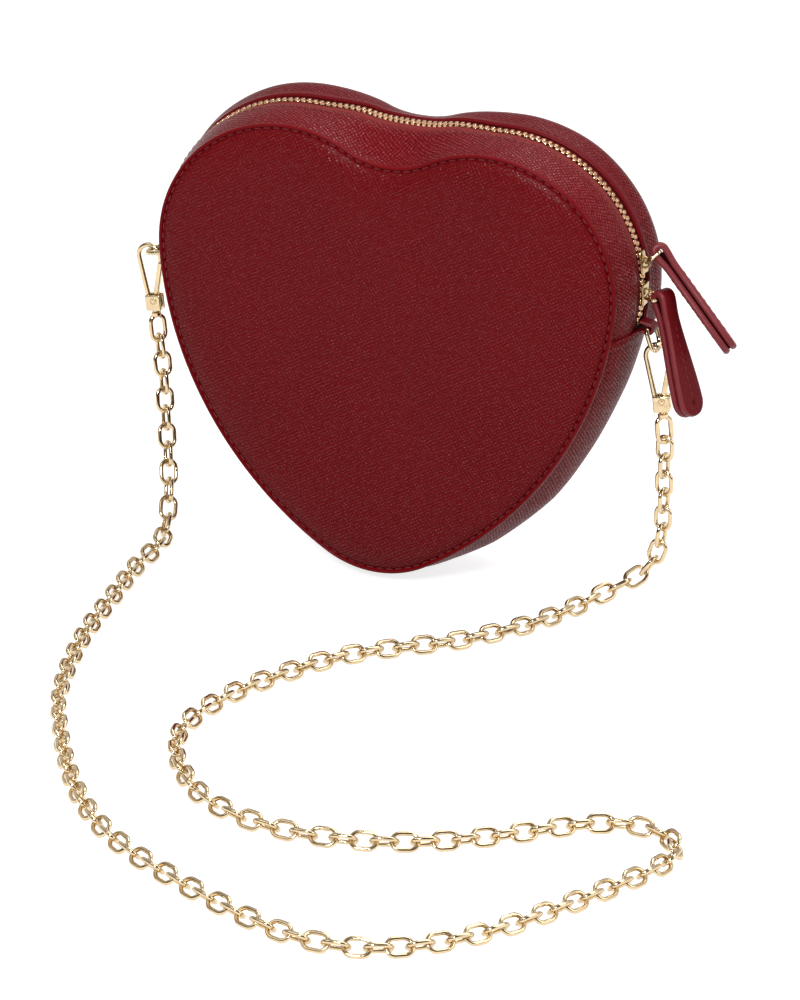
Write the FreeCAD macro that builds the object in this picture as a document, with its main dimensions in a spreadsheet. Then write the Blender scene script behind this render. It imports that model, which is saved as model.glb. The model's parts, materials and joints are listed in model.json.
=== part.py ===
import FreeCAD, Part
import math
import os
import Sketcher

# Heart shaped purse with a zipper round its top and a chain strap, in millimetres.
# +Z is up, the gusset at the heart's tip stands at z = 0, the front panel faces -Y and +X is the right side.

V = FreeCAD.Vector
TURN = FreeCAD.Rotation
X_AXIS = V(1, 0, 0)
Y_AXIS = V(0, 1, 0)
Z_AXIS = V(0, 0, 1)

# Driving dimensions, millimetres and degrees
DIMENSIONS = {
    # heart outline at the edge of the panels
    "heart_width": 190.0,
    "lobe_radius": 53.5,
    "lobe_height": 130.0,
    "notch_radius": 34.5,
    "tip_radius": 41.5,
    "side_radius": 151.0,
    # body
    "bag_depth": 52.0,
    "panel_thickness": 2.2,
    "gusset_crown": 4.0,
    "gusset_wall": 1.5,
    "seam_inset": 1.2,
    "notch_rise": 8.6,
    "notch_rise_reach": 40.0,
    "board_inset": 3.6,
    "board_thickness": 0.9,
    "lining_thickness": 0.5,
    "lining_end_gap": 1.6,
    "layer_gap": 0.1,
    # zipper
    "zip_end_drop": 8.5706,
    "zip_offset": 3.0,
    "zip_gap": 8.0,
    "tape_reach": 9.0,
    "tape_thickness": 0.5,
    "teeth_width": 4.6,
    "teeth_slit": 1.4,
    "tooth_height": 2.4,
    "tooth_length": 1.3,
    "tooth_pitch": 2.5,
    "teeth_end_gap": 4.0,
    "stop_length": 2.0,
    # sliders
    "slider_length": 9.0,
    "slider_nose_width": 7.2,
    "slider_tail_width": 5.6,
    "slider_plate": 0.9,
    "slider_clearance": 0.3,
    "slider_post_width": 0.9,
    "slider_post_length": 2.2,
    "bail_length": 4.8,
    "bail_width": 1.4,
    "bail_bar": 0.9,
    "bail_hole": 1.9,
    "upper_slider_angle": 18.3247,
    "lower_slider_angle": 5.8247,
    # pulls
    "pull_ring_reach": 6.9,
    "pull_ring_width": 10.4,
    "pull_ring_corner": 1.2,
    "pull_ring_bend": 2.2,
    "pull_ring_roof": 60.0,
    "pull_ring_wire": 1.2,
    "upper_ring_angle": 45.0,
    "lower_ring_angle": 0.0,
    "upper_ring_slew": 25.0,
    "lower_ring_slew": -22.0,
    "tab_length": 47.0,
    "tab_neck_width": 7.8,
    "tab_width": 12.5,
    "tab_layer": 2.6,
    "tab_ring_clearance": 0.35,
    "tab_fold_length": 8.0,
    "tab_gap": 0.6,
    "tab_core_recess": 1.3,
    "tab_core_grip": 0.2,
    "upper_tab_angle": 49.0,
    "lower_tab_angle": 67.0,
    # strap rings and their leather tabs
    "ring_width": 10.0,
    "ring_drop": 9.5,
    "ring_corner": 1.5,
    "ring_wire": 1.8,
    "ring_standoff": 3.4,
    "ring_tab_width": 6.0,
    "ring_tab_leather": 1.2,
    "ring_tab_clearance": 0.3,
    "left_ring_swing": 75.0,
    "right_ring_swing": 20.0,
    # snap hooks
    "bow_radius": 4.6,
    "hook_wire": 2.0,
    "hook_seat_gap": 0.5,
    "hook_length": 22.5,
    "block_width": 6.4,
    "block_depth": 5.0,
    "block_height": 6.5,
    "block_floor": 1.3,
    "nose_drop": 2.0,
    "gate_width": 2.0,
    "gate_thickness": 2.2,
    "gate_hub_radius": 1.6,
    "gate_side_gap": 0.2,
    "gate_end_gap": 0.6,
    "pin_radius": 0.9,
    "pin_clearance": 0.06,
    "rivet_radius": 1.35,
    "rivet_height": 0.3,
    "pivot_offset": 0.4,
    "pivot_rise": 4.2,
    "spring_thickness": 0.3,
    "spring_length": 4.2,
    "spring_gap": 0.1,
    "stem_radius": 1.28,
    "stem_clearance": 0.07,
    "stem_head_radius": 1.9,
    "stem_head_height": 0.8,
    "eye_width": 5.8,
    "eye_length": 10.4,
    "eye_wire": 1.9,
    "eye_drop": 2.4,
    "left_hook_lean": 8.0,
    "right_hook_lean": 8.0,
    "left_hook_twist": 0.0,
    "right_hook_twist": 10.0,
    # chain
    "link_length": 11.25,
    "link_width": 8.0,
    "link_wire": 1.75,
    "link_play": 0.45,
    "link_roll": 45.0,
}

# The strap's route from the left eye to the right eye, chosen by hand
STRAP_ROUTE = [
    (-102.7, -1.0, 66.0), (-101.0, -3.0, 54.0), (-99.0, -5.5, 43.0), (-96.5, -9.0, 31.5),
    (-94.0, -13.5, 21.5), (-92.0, -18.0, 13.0), (-90.5, -23.5, 6.8), (-88.5, -32.0, 4.0),
    (-88.0, -42.0, 3.3), (-88.5, -53.0, 3.2), (-87.0, -67.0, 3.2), (-84.5, -85.0, 3.2),
    (-82.0, -105.0, 3.2), (-79.0, -127.0, 3.2), (-74.0, -149.0, 3.2), (-68.5, -169.0, 3.2),
    (-62.0, -188.0, 3.2), (-53.5, -205.0, 3.2), (-44.5, -222.0, 3.2), (-34.5, -239.0, 3.2),
    (-22.5, -257.0, 3.2), (-7.5, -275.0, 3.2), (10.5, -290.5, 3.2), (31.5, -303.0, 3.2),
    (54.5, -315.0, 3.2), (76.5, -325.0, 3.2), (98.5, -331.0, 3.2), (121.5, -327.0, 3.2),
    (142.5, -310.0, 3.2), (158.0, -288.0, 3.2), (171.5, -262.0, 3.2), (183.0, -238.0, 3.2),
    (190.5, -219.0, 3.2), (188.0, -204.5, 3.2), (176.0, -197.0, 3.2), (162.5, -197.5, 3.2),
    (148.5, -206.5, 3.2), (131.5, -223.0, 3.2), (109.5, -240.5, 3.2), (85.5, -251.0, 3.2),
    (60.5, -255.0, 3.2), (37.5, -251.0, 3.2), (18.0, -240.5, 3.2), (4.0, -224.0, 3.2),
    (-7.0, -206.0, 3.2), (-11.0, -187.0, 3.2), (-9.0, -166.0, 3.2), (-3.5, -146.5, 3.2),
    (5.5, -127.0, 3.2), (16.5, -106.0, 3.2), (34.5, -88.0, 3.2), (52.5, -73.5, 3.2),
    (63.0, -59.5, 3.2), (72.5, -46.0, 3.2), (80.0, -30.0, 3.2), (85.5, -17.0, 3.8),
    (89.5, -9.5, 5.0), (93.3, -5.0, 6.7), (97.2, -2.2, 8.8), (101.2, -0.6, 11.6),
    (104.8, 0.0, 15.4), (107.6, 0.0, 20.0), (109.4, 0.0, 26.0), (110.2, 0.0, 34.0),
    (110.2, 0.0, 47.0), (109.4, 0.0, 60.0),
]
# A link whose centre lies higher than this hangs from a hook
DROP_HEIGHT = 8.0
# A link that slopes less than this lies on the floor
LYING_SLOPE = 0.2
# Points along and across each band of the top
STATIONS = 96
SHARES = 6
# Steps along each span of the route, and rounds of halving that place a link or fit the pitch
ROUTE_STEPS = 120
HALVINGS = 30
# The pitch may shrink to this share of the links' full reach
LEAST_PITCH = 0.9

doc = FreeCAD.newDocument("heart_purse")
sheet = doc.addObject("Spreadsheet::Sheet", "Dims")
for row, (alias, number) in enumerate(DIMENSIONS.items(), start=1):
    sheet.set(f"A{row}", alias)
    sheet.set(f"B{row}", str(number))
    sheet.setAlias(f"B{row}", alias)
doc.recompute()

nodes = []


def size(alias):
    """A driving dimension as the sheet holds it."""
    return float(getattr(sheet, alias))


def place(position=V(0, 0, 0), turn=TURN()):
    return FreeCAD.Placement(position, turn)


def polar(centre, radius, degrees):
    """The point at an angle on a circle that lies in the XZ plane."""
    angle = math.radians(degrees)
    return centre + V(radius * math.cos(angle), 0, radius * math.sin(angle))


def heading(vector):
    """The angle of a vector in the XZ plane, in degrees."""
    return math.degrees(math.atan2(vector.z, vector.x))


def add(kind, name, **formulas):
    """A document object whose properties follow the given formulas."""
    item = doc.addObject(kind, name)
    for prop, formula in formulas.items():
        item.setExpression(prop.replace("__", "."), formula)
    return item


def node(item, label, frame=None):
    """Name a finished sub-part and put it in its place."""
    item.Label = label
    if frame is not None:
        item.Placement = frame
    nodes.append(item)
    return item


def box(name, length, width, height, corner):
    """A box whose sizes are formulas and whose lowest corner is three formulas."""
    return add("Part::Box", name, Length=length, Width=width, Height=height,
               Placement__Base__x=corner[0], Placement__Base__y=corner[1], Placement__Base__z=corner[2])


def cylinder(name, radius, height, turn, corner):
    """A cylinder along the turned Z axis from a foot given by three formulas."""
    item = doc.addObject("Part::Cylinder", name)
    item.Placement = place(V(0, 0, 0), turn)
    item.setExpression("Radius", radius)
    item.setExpression("Height", height)
    for axis, formula in zip("xyz", corner):
        item.setExpression(f"Placement.Base.{axis}", formula)
    return item


def fuse(name, pieces):
    item = doc.addObject("Part::MultiFuse", name)
    item.Shapes = pieces
    item.Refine = True
    return item


def cut(name, base, tools):
    """Take one tool, or several joined, out of a base."""
    item = doc.addObject("Part::Cut", name)
    item.Base = base
    item.Tool = tools[0] if len(tools) == 1 else fuse(name + "_tools", tools)
    item.Refine = True
    return item


def tie(sketch, constraint, formula):
    index = sketch.addConstraint(constraint)
    sketch.setExpression(f"Constraints[{index}]", formula)


ALONG_Y = TURN(X_AXIS, -90)
ON_XZ = TURN(X_AXIS, 90)


# Heart outline

class Outline:
    """Centres and meeting angles of the arcs of the heart's right half."""

    def __init__(self):
        lobe_r, side_r, tip_r = size("lobe_radius"), size("side_radius"), size("tip_radius")
        self.lobe = V(size("heart_width") / 2 - lobe_r, 0, size("lobe_height"))
        reach = lobe_r + size("notch_radius")
        self.notch = V(0, 0, self.lobe.z + math.sqrt(reach ** 2 - self.lobe.x ** 2))
        self.tip = V(0, 0, tip_r + size("gusset_crown"))
        span = self.tip - self.lobe
        to_lobe, to_tip = side_r - lobe_r, side_r - tip_r
        along = (to_lobe ** 2 - to_tip ** 2 + span.Length ** 2) / (2 * span.Length)
        across = math.sqrt(to_lobe ** 2 - along ** 2)
        unit = span * (1 / span.Length)
        self.side = self.lobe + unit * along - V(-unit.z, 0, unit.x) * across
        self.notch_angle = heading(self.notch - self.lobe)
        self.lobe_angle = heading(self.lobe - self.side)
        self.tip_angle = heading(self.tip - self.side)
        self.side_top = self.side.z + side_r * math.sin(math.radians(self.lobe_angle))
        self.seam_height = self.side_top - size("zip_end_drop")
        self.seam_angle = math.degrees(math.asin((self.seam_height - self.side.z) / side_r))

    def arcs(self, inset, with_seams):
        """The closed outline as arcs: centre, radius and angles, anticlockwise from the tip."""
        lobe_r, side_r = size("lobe_radius") - inset, size("side_radius") - inset
        breaks = [self.tip_angle, self.seam_angle, self.lobe_angle]
        if not with_seams:
            breaks = [self.tip_angle, self.lobe_angle]
        left_lobe = V(-self.lobe.x, 0, self.lobe.z)
        left_side = V(-self.side.x, 0, self.side.z)
        arcs = [(self.tip, size("tip_radius") - inset, 180 - self.tip_angle, 360 + self.tip_angle)]
        arcs += [(self.side, side_r, low, high) for low, high in zip(breaks, breaks[1:])]
        arcs.append((self.lobe, lobe_r, self.lobe_angle, self.notch_angle))
        arcs.append((self.notch, size("notch_radius") + inset, -self.notch_angle, self.notch_angle - 180))
        arcs.append((left_lobe, lobe_r, 180 - self.notch_angle, 180 - self.lobe_angle))
        downward = list(reversed(breaks))
        arcs += [(left_side, side_r, 180 - high, 180 - low) for high, low in zip(downward, downward[1:])]
        return arcs


outline = Outline()


def draw_heart(sketch, inset_alias=None, with_seams=False):
    """Draw the heart in a sketch of the XZ plane, moved in by a driving dimension."""
    inset = size(inset_alias) if inset_alias else 0.0
    less = f" - Dims.{inset_alias}" if inset_alias else ""
    more = f" + Dims.{inset_alias}" if inset_alias else ""
    for centre, radius, low, high in outline.arcs(inset, with_seams):
        circle = Part.Circle(V(centre.x, centre.z, 0), Z_AXIS, radius)
        sketch.addGeometry(Part.ArcOfCircle(circle, math.radians(low), math.radians(high)), False)
    start, end, middle = 1, 2, 3
    sides = 2 if with_seams else 1
    tip, right, right_lobe = 0, 1, 1 + sides
    notch, left_lobe, left = right_lobe + 1, right_lobe + 2, right_lobe + 3
    last = left + sides - 1
    run = list(range(tip, right_lobe + 1))
    joints = [(a, end, b, start) for a, b in zip(run, run[1:])]
    joints += [(right_lobe, end, notch, end), (notch, start, left_lobe, start)]
    run = list(range(left_lobe, last + 1)) + [tip]
    joints += [(a, end, b, start) for a, b in zip(run, run[1:])]
    for joint in joints:
        sketch.addConstraint(Sketcher.Constraint("Tangent", *joint))
    sketch.addConstraint(Sketcher.Constraint("PointOnObject", tip, middle, -2))
    tie(sketch, Sketcher.Constraint("DistanceY", -1, 1, tip, middle, outline.tip.z),
        "Dims.tip_radius + Dims.gusset_crown")
    tie(sketch, Sketcher.Constraint("Radius", tip, size("tip_radius") - inset), "Dims.tip_radius" + less)
    tie(sketch, Sketcher.Constraint("Radius", notch, size("notch_radius") + inset),
        "Dims.notch_radius" + more)
    for lobe, first in ((right_lobe, right), (left_lobe, last)):
        across = (-1, 1, lobe, middle) if lobe == right_lobe else (lobe, middle, -1, 1)
        tie(sketch, Sketcher.Constraint("DistanceX", *across, outline.lobe.x),
            "Dims.heart_width / 2 - Dims.lobe_radius")
        tie(sketch, Sketcher.Constraint("DistanceY", -1, 1, lobe, middle, outline.lobe.z),
            "Dims.lobe_height")
        tie(sketch, Sketcher.Constraint("Radius", lobe, size("lobe_radius") - inset),
            "Dims.lobe_radius" + less)
        tie(sketch, Sketcher.Constraint("Radius", first, size("side_radius") - inset),
            "Dims.side_radius" + less)
    if with_seams:
        for lower, upper, seam in ((right, right + 1, end), (last, left, start)):
            sketch.addConstraint(Sketcher.Constraint("Equal", lower, upper))
            tie(sketch, Sketcher.Constraint("DistanceY", lower, seam, upper, seam, size("zip_end_drop")),
                "Dims.zip_end_drop")


def heart_plate(label, inset_alias, inner_face, thickness, side):
    """A flat heart padded outwards from its inner face, on the front (-1) or the back (+1)."""
    body = doc.addObject("PartDesign::Body", label + "_body")
    sketch = body.newObject("Sketcher::SketchObject", label + "_outline")
    plane = next(item for item in body.Origin.OriginFeatures if item.Role == "XZ_Plane")
    sketch.AttachmentSupport = (plane, [""])
    sketch.MapMode = "FlatFace"
    sketch.setExpression("AttachmentOffset.Base.z", f"{-side} * ({inner_face})")
    draw_heart(sketch, inset_alias)
    pad = body.newObject("PartDesign::Pad", label + "_pad")
    pad.Profile = sketch
    pad.Reversed = side > 0
    pad.setExpression("Length", thickness)
    node(body, label)


PANEL_FACE = "Dims.bag_depth / 2 - Dims.panel_thickness"
BOARD_FACE = PANEL_FACE + " - Dims.board_thickness"
LINING_FACE = BOARD_FACE + " - Dims.lining_thickness"
for prefix, facing in (("front", -1), ("back", 1)):
    heart_plate(prefix + "_panel", None, PANEL_FACE, "Dims.panel_thickness", facing)
    heart_plate(prefix + "_board", "board_inset", BOARD_FACE, "Dims.board_thickness", facing)
    heart_plate(prefix + "_lining", "board_inset", LINING_FACE, "Dims.lining_thickness", facing)


# Lower gusset: bands swept round the heart

path = doc.addObject("Sketcher::SketchObject", "outline_path")
path.Placement = place(turn=ON_XZ)
draw_heart(path, with_seams=True)
LOWER_RUN = ["Edge2", "Edge1", "Edge8"]

# The gusset's section is an arc that crowns between the two panels
half_span = size("bag_depth") / 2 - size("panel_thickness")
crown_rise = size("gusset_crown") + size("seam_inset")
HALF_SPAN = f"({PANEL_FACE})"
CROWN_RISE = "(Dims.gusset_crown + Dims.seam_inset)"
crown_radius = (half_span ** 2 + crown_rise ** 2) / (2 * crown_rise)
CROWN_RADIUS = f"(({HALF_SPAN} * {HALF_SPAN} + {CROWN_RISE} * {CROWN_RISE}) / (2 * {CROWN_RISE}))"


def lower_band(label, depth, wall, low, high):
    """A strip of the crowned section: its depth under the outside, its wall and its Y limits."""
    depth_now, wall_now = sheet.evalExpression(depth), sheet.evalExpression(wall)
    low_now, high_now = sheet.evalExpression(low), sheet.evalExpression(high)
    sketch = doc.addObject("Sketcher::SketchObject", label + "_section")
    sketch.Placement = place(outline.side, TURN(Y_AXIS, -outline.seam_angle))
    middle = V(size("side_radius") + size("gusset_crown") - crown_radius, 0, 0)
    outer, inner = crown_radius - depth_now, crown_radius - depth_now - wall_now

    def corner(radius, y):
        return middle + V(math.sqrt(radius ** 2 - y ** 2), y, 0)

    for radius in (outer, inner):
        circle = Part.Circle(middle, Z_AXIS, radius)
        start, end = math.asin(low_now / radius), math.asin(high_now / radius)
        sketch.addGeometry(Part.ArcOfCircle(circle, start, end))
    for y in (low_now, high_now):
        sketch.addGeometry(Part.LineSegment(corner(inner, y), corner(outer, y)))
    for edge, at in ((2, 1), (3, 2)):
        sketch.addConstraint(Sketcher.Constraint("Coincident", edge, 1, 1, at))
        sketch.addConstraint(Sketcher.Constraint("Coincident", edge, 2, 0, at))
        sketch.addConstraint(Sketcher.Constraint("Horizontal", edge))
    sketch.addConstraint(Sketcher.Constraint("Coincident", 0, 3, 1, 3))
    sketch.addConstraint(Sketcher.Constraint("PointOnObject", 0, 3, -1))
    tie(sketch, Sketcher.Constraint("DistanceX", -1, 1, 0, 3, middle.x),
        f"Dims.side_radius + Dims.gusset_crown - {CROWN_RADIUS}")
    tie(sketch, Sketcher.Constraint("Radius", 0, outer), f"{CROWN_RADIUS} - ({depth})")
    tie(sketch, Sketcher.Constraint("Radius", 1, inner), f"{CROWN_RADIUS} - ({depth}) - ({wall})")
    tie(sketch, Sketcher.Constraint("DistanceY", -1, 1, 2, 1, low_now), low)
    tie(sketch, Sketcher.Constraint("DistanceY", -1, 1, 3, 1, high_now), high)
    item = doc.addObject("Part::Sweep", label + "_sweep")
    item.Sections = [sketch]
    item.Spine = (path, LOWER_RUN)
    item.Solid = True
    item.Frenet = False
    node(item, label)


LEATHER = "Dims.gusset_wall"
UNDER_LEATHER = "Dims.gusset_wall + Dims.layer_gap"
LINING = "Dims.lining_thickness"
LINING_END = f"{HALF_SPAN} - Dims.lining_end_gap"
lower_band("lower_gusset", "0", LEATHER, f"-{HALF_SPAN}", HALF_SPAN)
lower_band("lower_gusset_lining", UNDER_LEATHER, LINING, f"-({LINING_END})", LINING_END)


# Upper gusset and zipper tape: bands along the outline's top, drawn up across the notch

class Track:
    """Places along the top of the outline, from the right seam over the notch to the left seam."""

    def __init__(self):
        arcs = outline.arcs(0.0, True)[2:7]
        self.spans = []
        self.length = 0.0
        for centre, radius, low, high in arcs:
            hollow = centre == outline.notch
            start, turn = (high, low - high) if hollow else (low, high - low)
            run = radius * math.radians(abs(turn))
            self.spans.append((self.length, run, centre, radius, start, turn))
            self.length += run

    def frame(self, distance):
        """A frame at a distance along the track: X outwards, Y along the bag's depth, Z onwards."""
        for begin, run, centre, radius, start, turn in self.spans:
            if distance <= begin + run or begin + run >= self.length:
                angle = start + turn * (distance - begin) / run
                outward = angle + 180 if turn < 0 else angle
                return place(polar(centre, radius, angle), TURN(Y_AXIS, -outward))

    def point(self, distance, outwards, y):
        """A point of the top: the outline's own point, moved outwards, across and up."""
        point = self.frame(distance).multVec(V(outwards, y, 0))
        return point + Z_AXIS * rise(point.x, y)

    def risen_frame(self, distance, outwards):
        """The frame at a distance, turned and lifted with the zipper's line at that height."""
        y, step = -size("zip_offset"), size("tooth_pitch")
        along = self.point(distance + step, outwards, y) - self.point(distance - step, outwards, y)
        turn = TURN(Y_AXIS, 90 - heading(along))
        middle = self.point(distance, outwards, y) - turn.multVec(V(outwards, y, 0))
        return place(middle, turn)


track = Track()


def rise(x, y):
    """How far the zipper holds the top up above the outline, most at the middle of the notch."""
    across = y + size("zip_offset")
    room = half_span + math.copysign(size("zip_offset"), across)
    along = abs(x) / size("notch_rise_reach")
    if along >= 1:
        return 0.0
    return size("notch_rise") * (math.cos(math.pi / 2 * along) * math.cos(math.pi / 2 * across / room)) ** 2


def spline_through(points):
    """The cubic spline through points at even parameters."""
    curve = Part.BSplineCurve()
    curve.interpolate(Points=points, Parameters=[float(index) for index in range(len(points))])
    return curve


def skin(depth, low, high):
    """The surface at a depth under the outside of the top, between two Y limits."""
    distances = [track.length * station / STATIONS for station in range(STATIONS + 1)]
    columns = []
    for share in range(SHARES + 1):
        y = low + (high - low) * share / SHARES
        outwards = size("gusset_crown") - crown_radius + math.sqrt((crown_radius - depth) ** 2 - y ** 2)
        columns.append(spline_through([track.point(distance, outwards, y) for distance in distances]))
    rows = [spline_through(list(poles)) for poles in zip(*[column.getPoles() for column in columns])]
    along, across = columns[0], rows[0]
    surface = Part.BSplineSurface()
    surface.buildFromPolesMultsKnots([row.getPoles() for row in rows], along.getMultiplicities(),
                                     across.getMultiplicities(), along.getKnots(), across.getKnots(),
                                     False, False, along.Degree, across.Degree)
    return surface.toShape()


def flat_side(above, below):
    """The flat face between two edges that run side by side."""
    ties = [Part.LineSegment(start.Point, end.Point).toShape()
            for start, end in zip(above.Vertexes, below.Vertexes)]
    return Part.Face(Part.Wire([above, ties[1], below, ties[0]]))


def upper_band(label, depth, wall, low, high):
    """A strip of the top: its depth under the outside, its wall and its Y limits."""
    outer, inner = skin(depth, low, high), skin(depth + wall, low, high)
    faces = [outer, inner] + [flat_side(*pair) for pair in zip(outer.Edges, inner.Edges)]
    shell = Part.makeShell(faces)
    shell.sewShape()
    solid = Part.makeSolid(shell)
    if solid.Volume < 0:
        solid.reverse()
    item = doc.addObject("Part::Feature", label + "_band")
    item.Shape = solid
    node(item, label)


leather, tape, lining = size("gusset_wall"), size("tape_thickness"), size("lining_thickness")
under_leather = leather + size("layer_gap")
lining_end = half_span - size("lining_end_gap")
zip_front, zip_rear = [side * size("zip_gap") / 2 - size("zip_offset") for side in (-1, 1)]
tape_front, tape_rear = [side * size("tape_reach") - size("zip_offset") for side in (-1, 1)]
teeth_front, teeth_rear = [side * size("teeth_width") / 2 - size("zip_offset") for side in (-1, 1)]
upper_band("zip_strip_front", 0.0, leather, -half_span, zip_front)
upper_band("zip_strip_rear", 0.0, leather, zip_rear, half_span)
upper_band("zipper_tape_front", under_leather, tape, tape_front, teeth_front)
upper_band("zipper_tape_rear", under_leather, tape, teeth_rear, tape_rear)
upper_band("strip_lining_front", under_leather, lining, -lining_end, tape_front)
upper_band("strip_lining_rear", under_leather, lining, tape_rear, lining_end)


# Zipper teeth and stops

tape_middle = size("gusset_crown") - size("gusset_wall") - size("layer_gap") - size("tape_thickness") / 2
tooth_low = tape_middle - size("tooth_height") / 2


def teeth(label, low_y, phase):
    """One row of teeth, as separate blocks on the edge of its tape."""
    width = (size("teeth_width") - size("teeth_slit")) / 2
    tooth = Part.makeBox(size("tooth_height"), width, size("tooth_length"),
                         V(tooth_low, low_y, -size("tooth_length") / 2))
    first = size("teeth_end_gap") + phase * size("tooth_pitch")
    count = int((track.length - size("teeth_end_gap") - first) / size("tooth_pitch")) + 1
    row = []
    for index in range(count):
        copy = tooth.copy()
        copy.Placement = track.risen_frame(first + index * size("tooth_pitch"), tape_middle)
        row.append(copy)
    item = doc.addObject("Part::Feature", label + "_row")
    item.Shape = Part.Compound(row)
    node(item, label)


teeth("zipper_teeth_front", teeth_front, 0.0)
teeth("zipper_teeth_rear", -size("zip_offset") + size("teeth_slit") / 2, 0.5)

stops = doc.addObject("Part::Feature", "zipper_stop_pair")
stop = Part.makeBox(size("tooth_height"), size("teeth_width"), size("stop_length"),
                    V(tooth_low, teeth_front, 0))
stop_room = size("teeth_end_gap") - size("tooth_length")
right_stop, left_stop = stop.copy(), stop.copy()
right_stop.Placement = track.frame(stop_room - size("stop_length"))
left_stop.Placement = track.frame(track.length - stop_room)
stops.Shape = Part.Compound([right_stop, left_stop])
node(stops, "zipper_stops")


# Round wire along lines and arcs

def line(start, end):
    return Part.LineSegment(start, end).toShape()


def arc(start, through, end):
    return Part.Arc(start, through, end).toShape()


def route_of(name, edges):
    """A wire path in the document."""
    item = doc.addObject("Part::Feature", name)
    item.Shape = Part.Wire(edges)
    return item


def rounded_loop(name, corners, radii):
    """A closed path through corners, each rounded by its radius; it starts after the first corner."""
    starts, middles, ends = [], [], []
    for index, corner in enumerate(corners):
        back = (corners[index - 1] - corner).normalize()
        ahead = (corners[(index + 1) % len(corners)] - corner).normalize()
        half = back.getAngle(ahead) / 2
        setback, radius = radii[index] / math.tan(half), radii[index]
        inward = (back + ahead).normalize()
        starts.append(corner + back * setback)
        ends.append(corner + ahead * setback)
        middles.append(corner + inward * (radius / math.sin(half) - radius))
    edges = []
    for index in range(len(corners)):
        after = (index + 1) % len(corners)
        if (starts[after] - ends[index]).Length > 1e-6:
            edges.append(line(ends[index], starts[after]))
        edges.append(arc(starts[after], middles[after], ends[after]))
    return route_of(name, edges)


def wire_loop(label, route, wire_alias, frame=None):
    """Round wire swept along a path; a node of its own where it has a frame."""
    first = route.Shape.Edges[0]
    section = add("Part::Circle", label + "_section", Radius=f"Dims.{wire_alias} / 2")
    section.Placement = place(first.valueAt(first.FirstParameter),
                              TURN(Z_AXIS, first.tangentAt(first.FirstParameter)))
    item = doc.addObject("Part::Sweep", label + "_wire")
    item.Sections = [section]
    item.Spine = (route, [f"Edge{index + 1}" for index in range(len(route.Shape.Edges))])
    item.Solid = True
    item.Frenet = False
    if frame is not None:
        node(item, label, frame)
    return item


# Sliders with their pull rings and leather tabs

TAPE_MIDDLE = "(Dims.gusset_crown - Dims.gusset_wall - Dims.layer_gap - Dims.tape_thickness / 2)"
PLATE_LOW = f"({TAPE_MIDDLE} + Dims.tooth_height / 2 + Dims.slider_clearance)"
PLATE_HIGH = f"({PLATE_LOW} + Dims.slider_plate)"
CHANNEL_LOW = f"({TAPE_MIDDLE} - Dims.tooth_height / 2 - Dims.slider_clearance)"
BAIL_HEIGHT = "(Dims.bail_hole + Dims.bail_bar)"
tooth_high = tape_middle + size("tooth_height") / 2
bail_axis = tooth_high + size("slider_clearance") + size("slider_plate") + size("bail_hole") / 2


def slider_plate(name, low):
    """A plate that narrows from the slider's nose, at +Z, to its tail."""
    plate = doc.addObject("Part::Wedge", name)
    widths = {"Zmin": "-Dims.slider_tail_width / 2", "Zmax": "Dims.slider_tail_width / 2",
              "Z2min": "-Dims.slider_nose_width / 2", "Z2max": "Dims.slider_nose_width / 2"}
    limits = {"Xmin": "0", "X2min": "0", "Xmax": "Dims.slider_plate", "X2max": "Dims.slider_plate",
              "Ymin": "-Dims.slider_length / 2", "Ymax": "Dims.slider_length / 2"}
    for prop, formula in {**widths, **limits}.items():
        plate.setExpression(prop, formula)
    plate.Placement = place(turn=TURN(X_AXIS, 90))
    plate.setExpression("Placement.Base.x", low)
    return plate


def slider_heading(angle_alias):
    """Where a slider rests round the lobe: its angle above the point where lobe and side meet."""
    return outline.lobe_angle + size(angle_alias)


def slider(label, angle_alias, nose_up):
    """A slider on the right lobe: two plates round the teeth, a post and a bail for the pull ring."""
    upper = slider_plate(label + "_top", PLATE_LOW)
    lower = slider_plate(label + "_bottom", f"{CHANNEL_LOW} - Dims.slider_plate")
    post_corner = (CHANNEL_LOW, "-Dims.slider_post_width / 2",
                   "Dims.slider_length / 2 - Dims.slider_post_length")
    post = box(label + "_post", f"{PLATE_LOW} - {CHANNEL_LOW}", "Dims.slider_post_width",
               "Dims.slider_post_length", post_corner)
    arch = box(label + "_arch", BAIL_HEIGHT, "Dims.bail_width", "Dims.bail_length",
               (PLATE_HIGH, "-Dims.bail_width / 2", "-Dims.bail_length / 2"))
    hole = box(label + "_hole", "Dims.bail_hole", "2 * Dims.bail_width",
               "Dims.bail_length - 2 * Dims.bail_bar",
               (PLATE_HIGH, "-Dims.bail_width", "Dims.bail_bar - Dims.bail_length / 2"))
    bail = cut(label + "_bail", arch, [hole])
    frame = place(outline.lobe + V(0, -size("zip_offset"), 0), TURN(Y_AXIS, -slider_heading(angle_alias)))
    frame = frame.multiply(place(V(size("lobe_radius"), 0, 0)))
    flip = TURN() if nose_up else TURN(X_AXIS, 180)
    node(fuse(label + "_whole", [upper, lower, post, bail]), label, frame.multiply(place(turn=flip)))
    return frame


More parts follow.
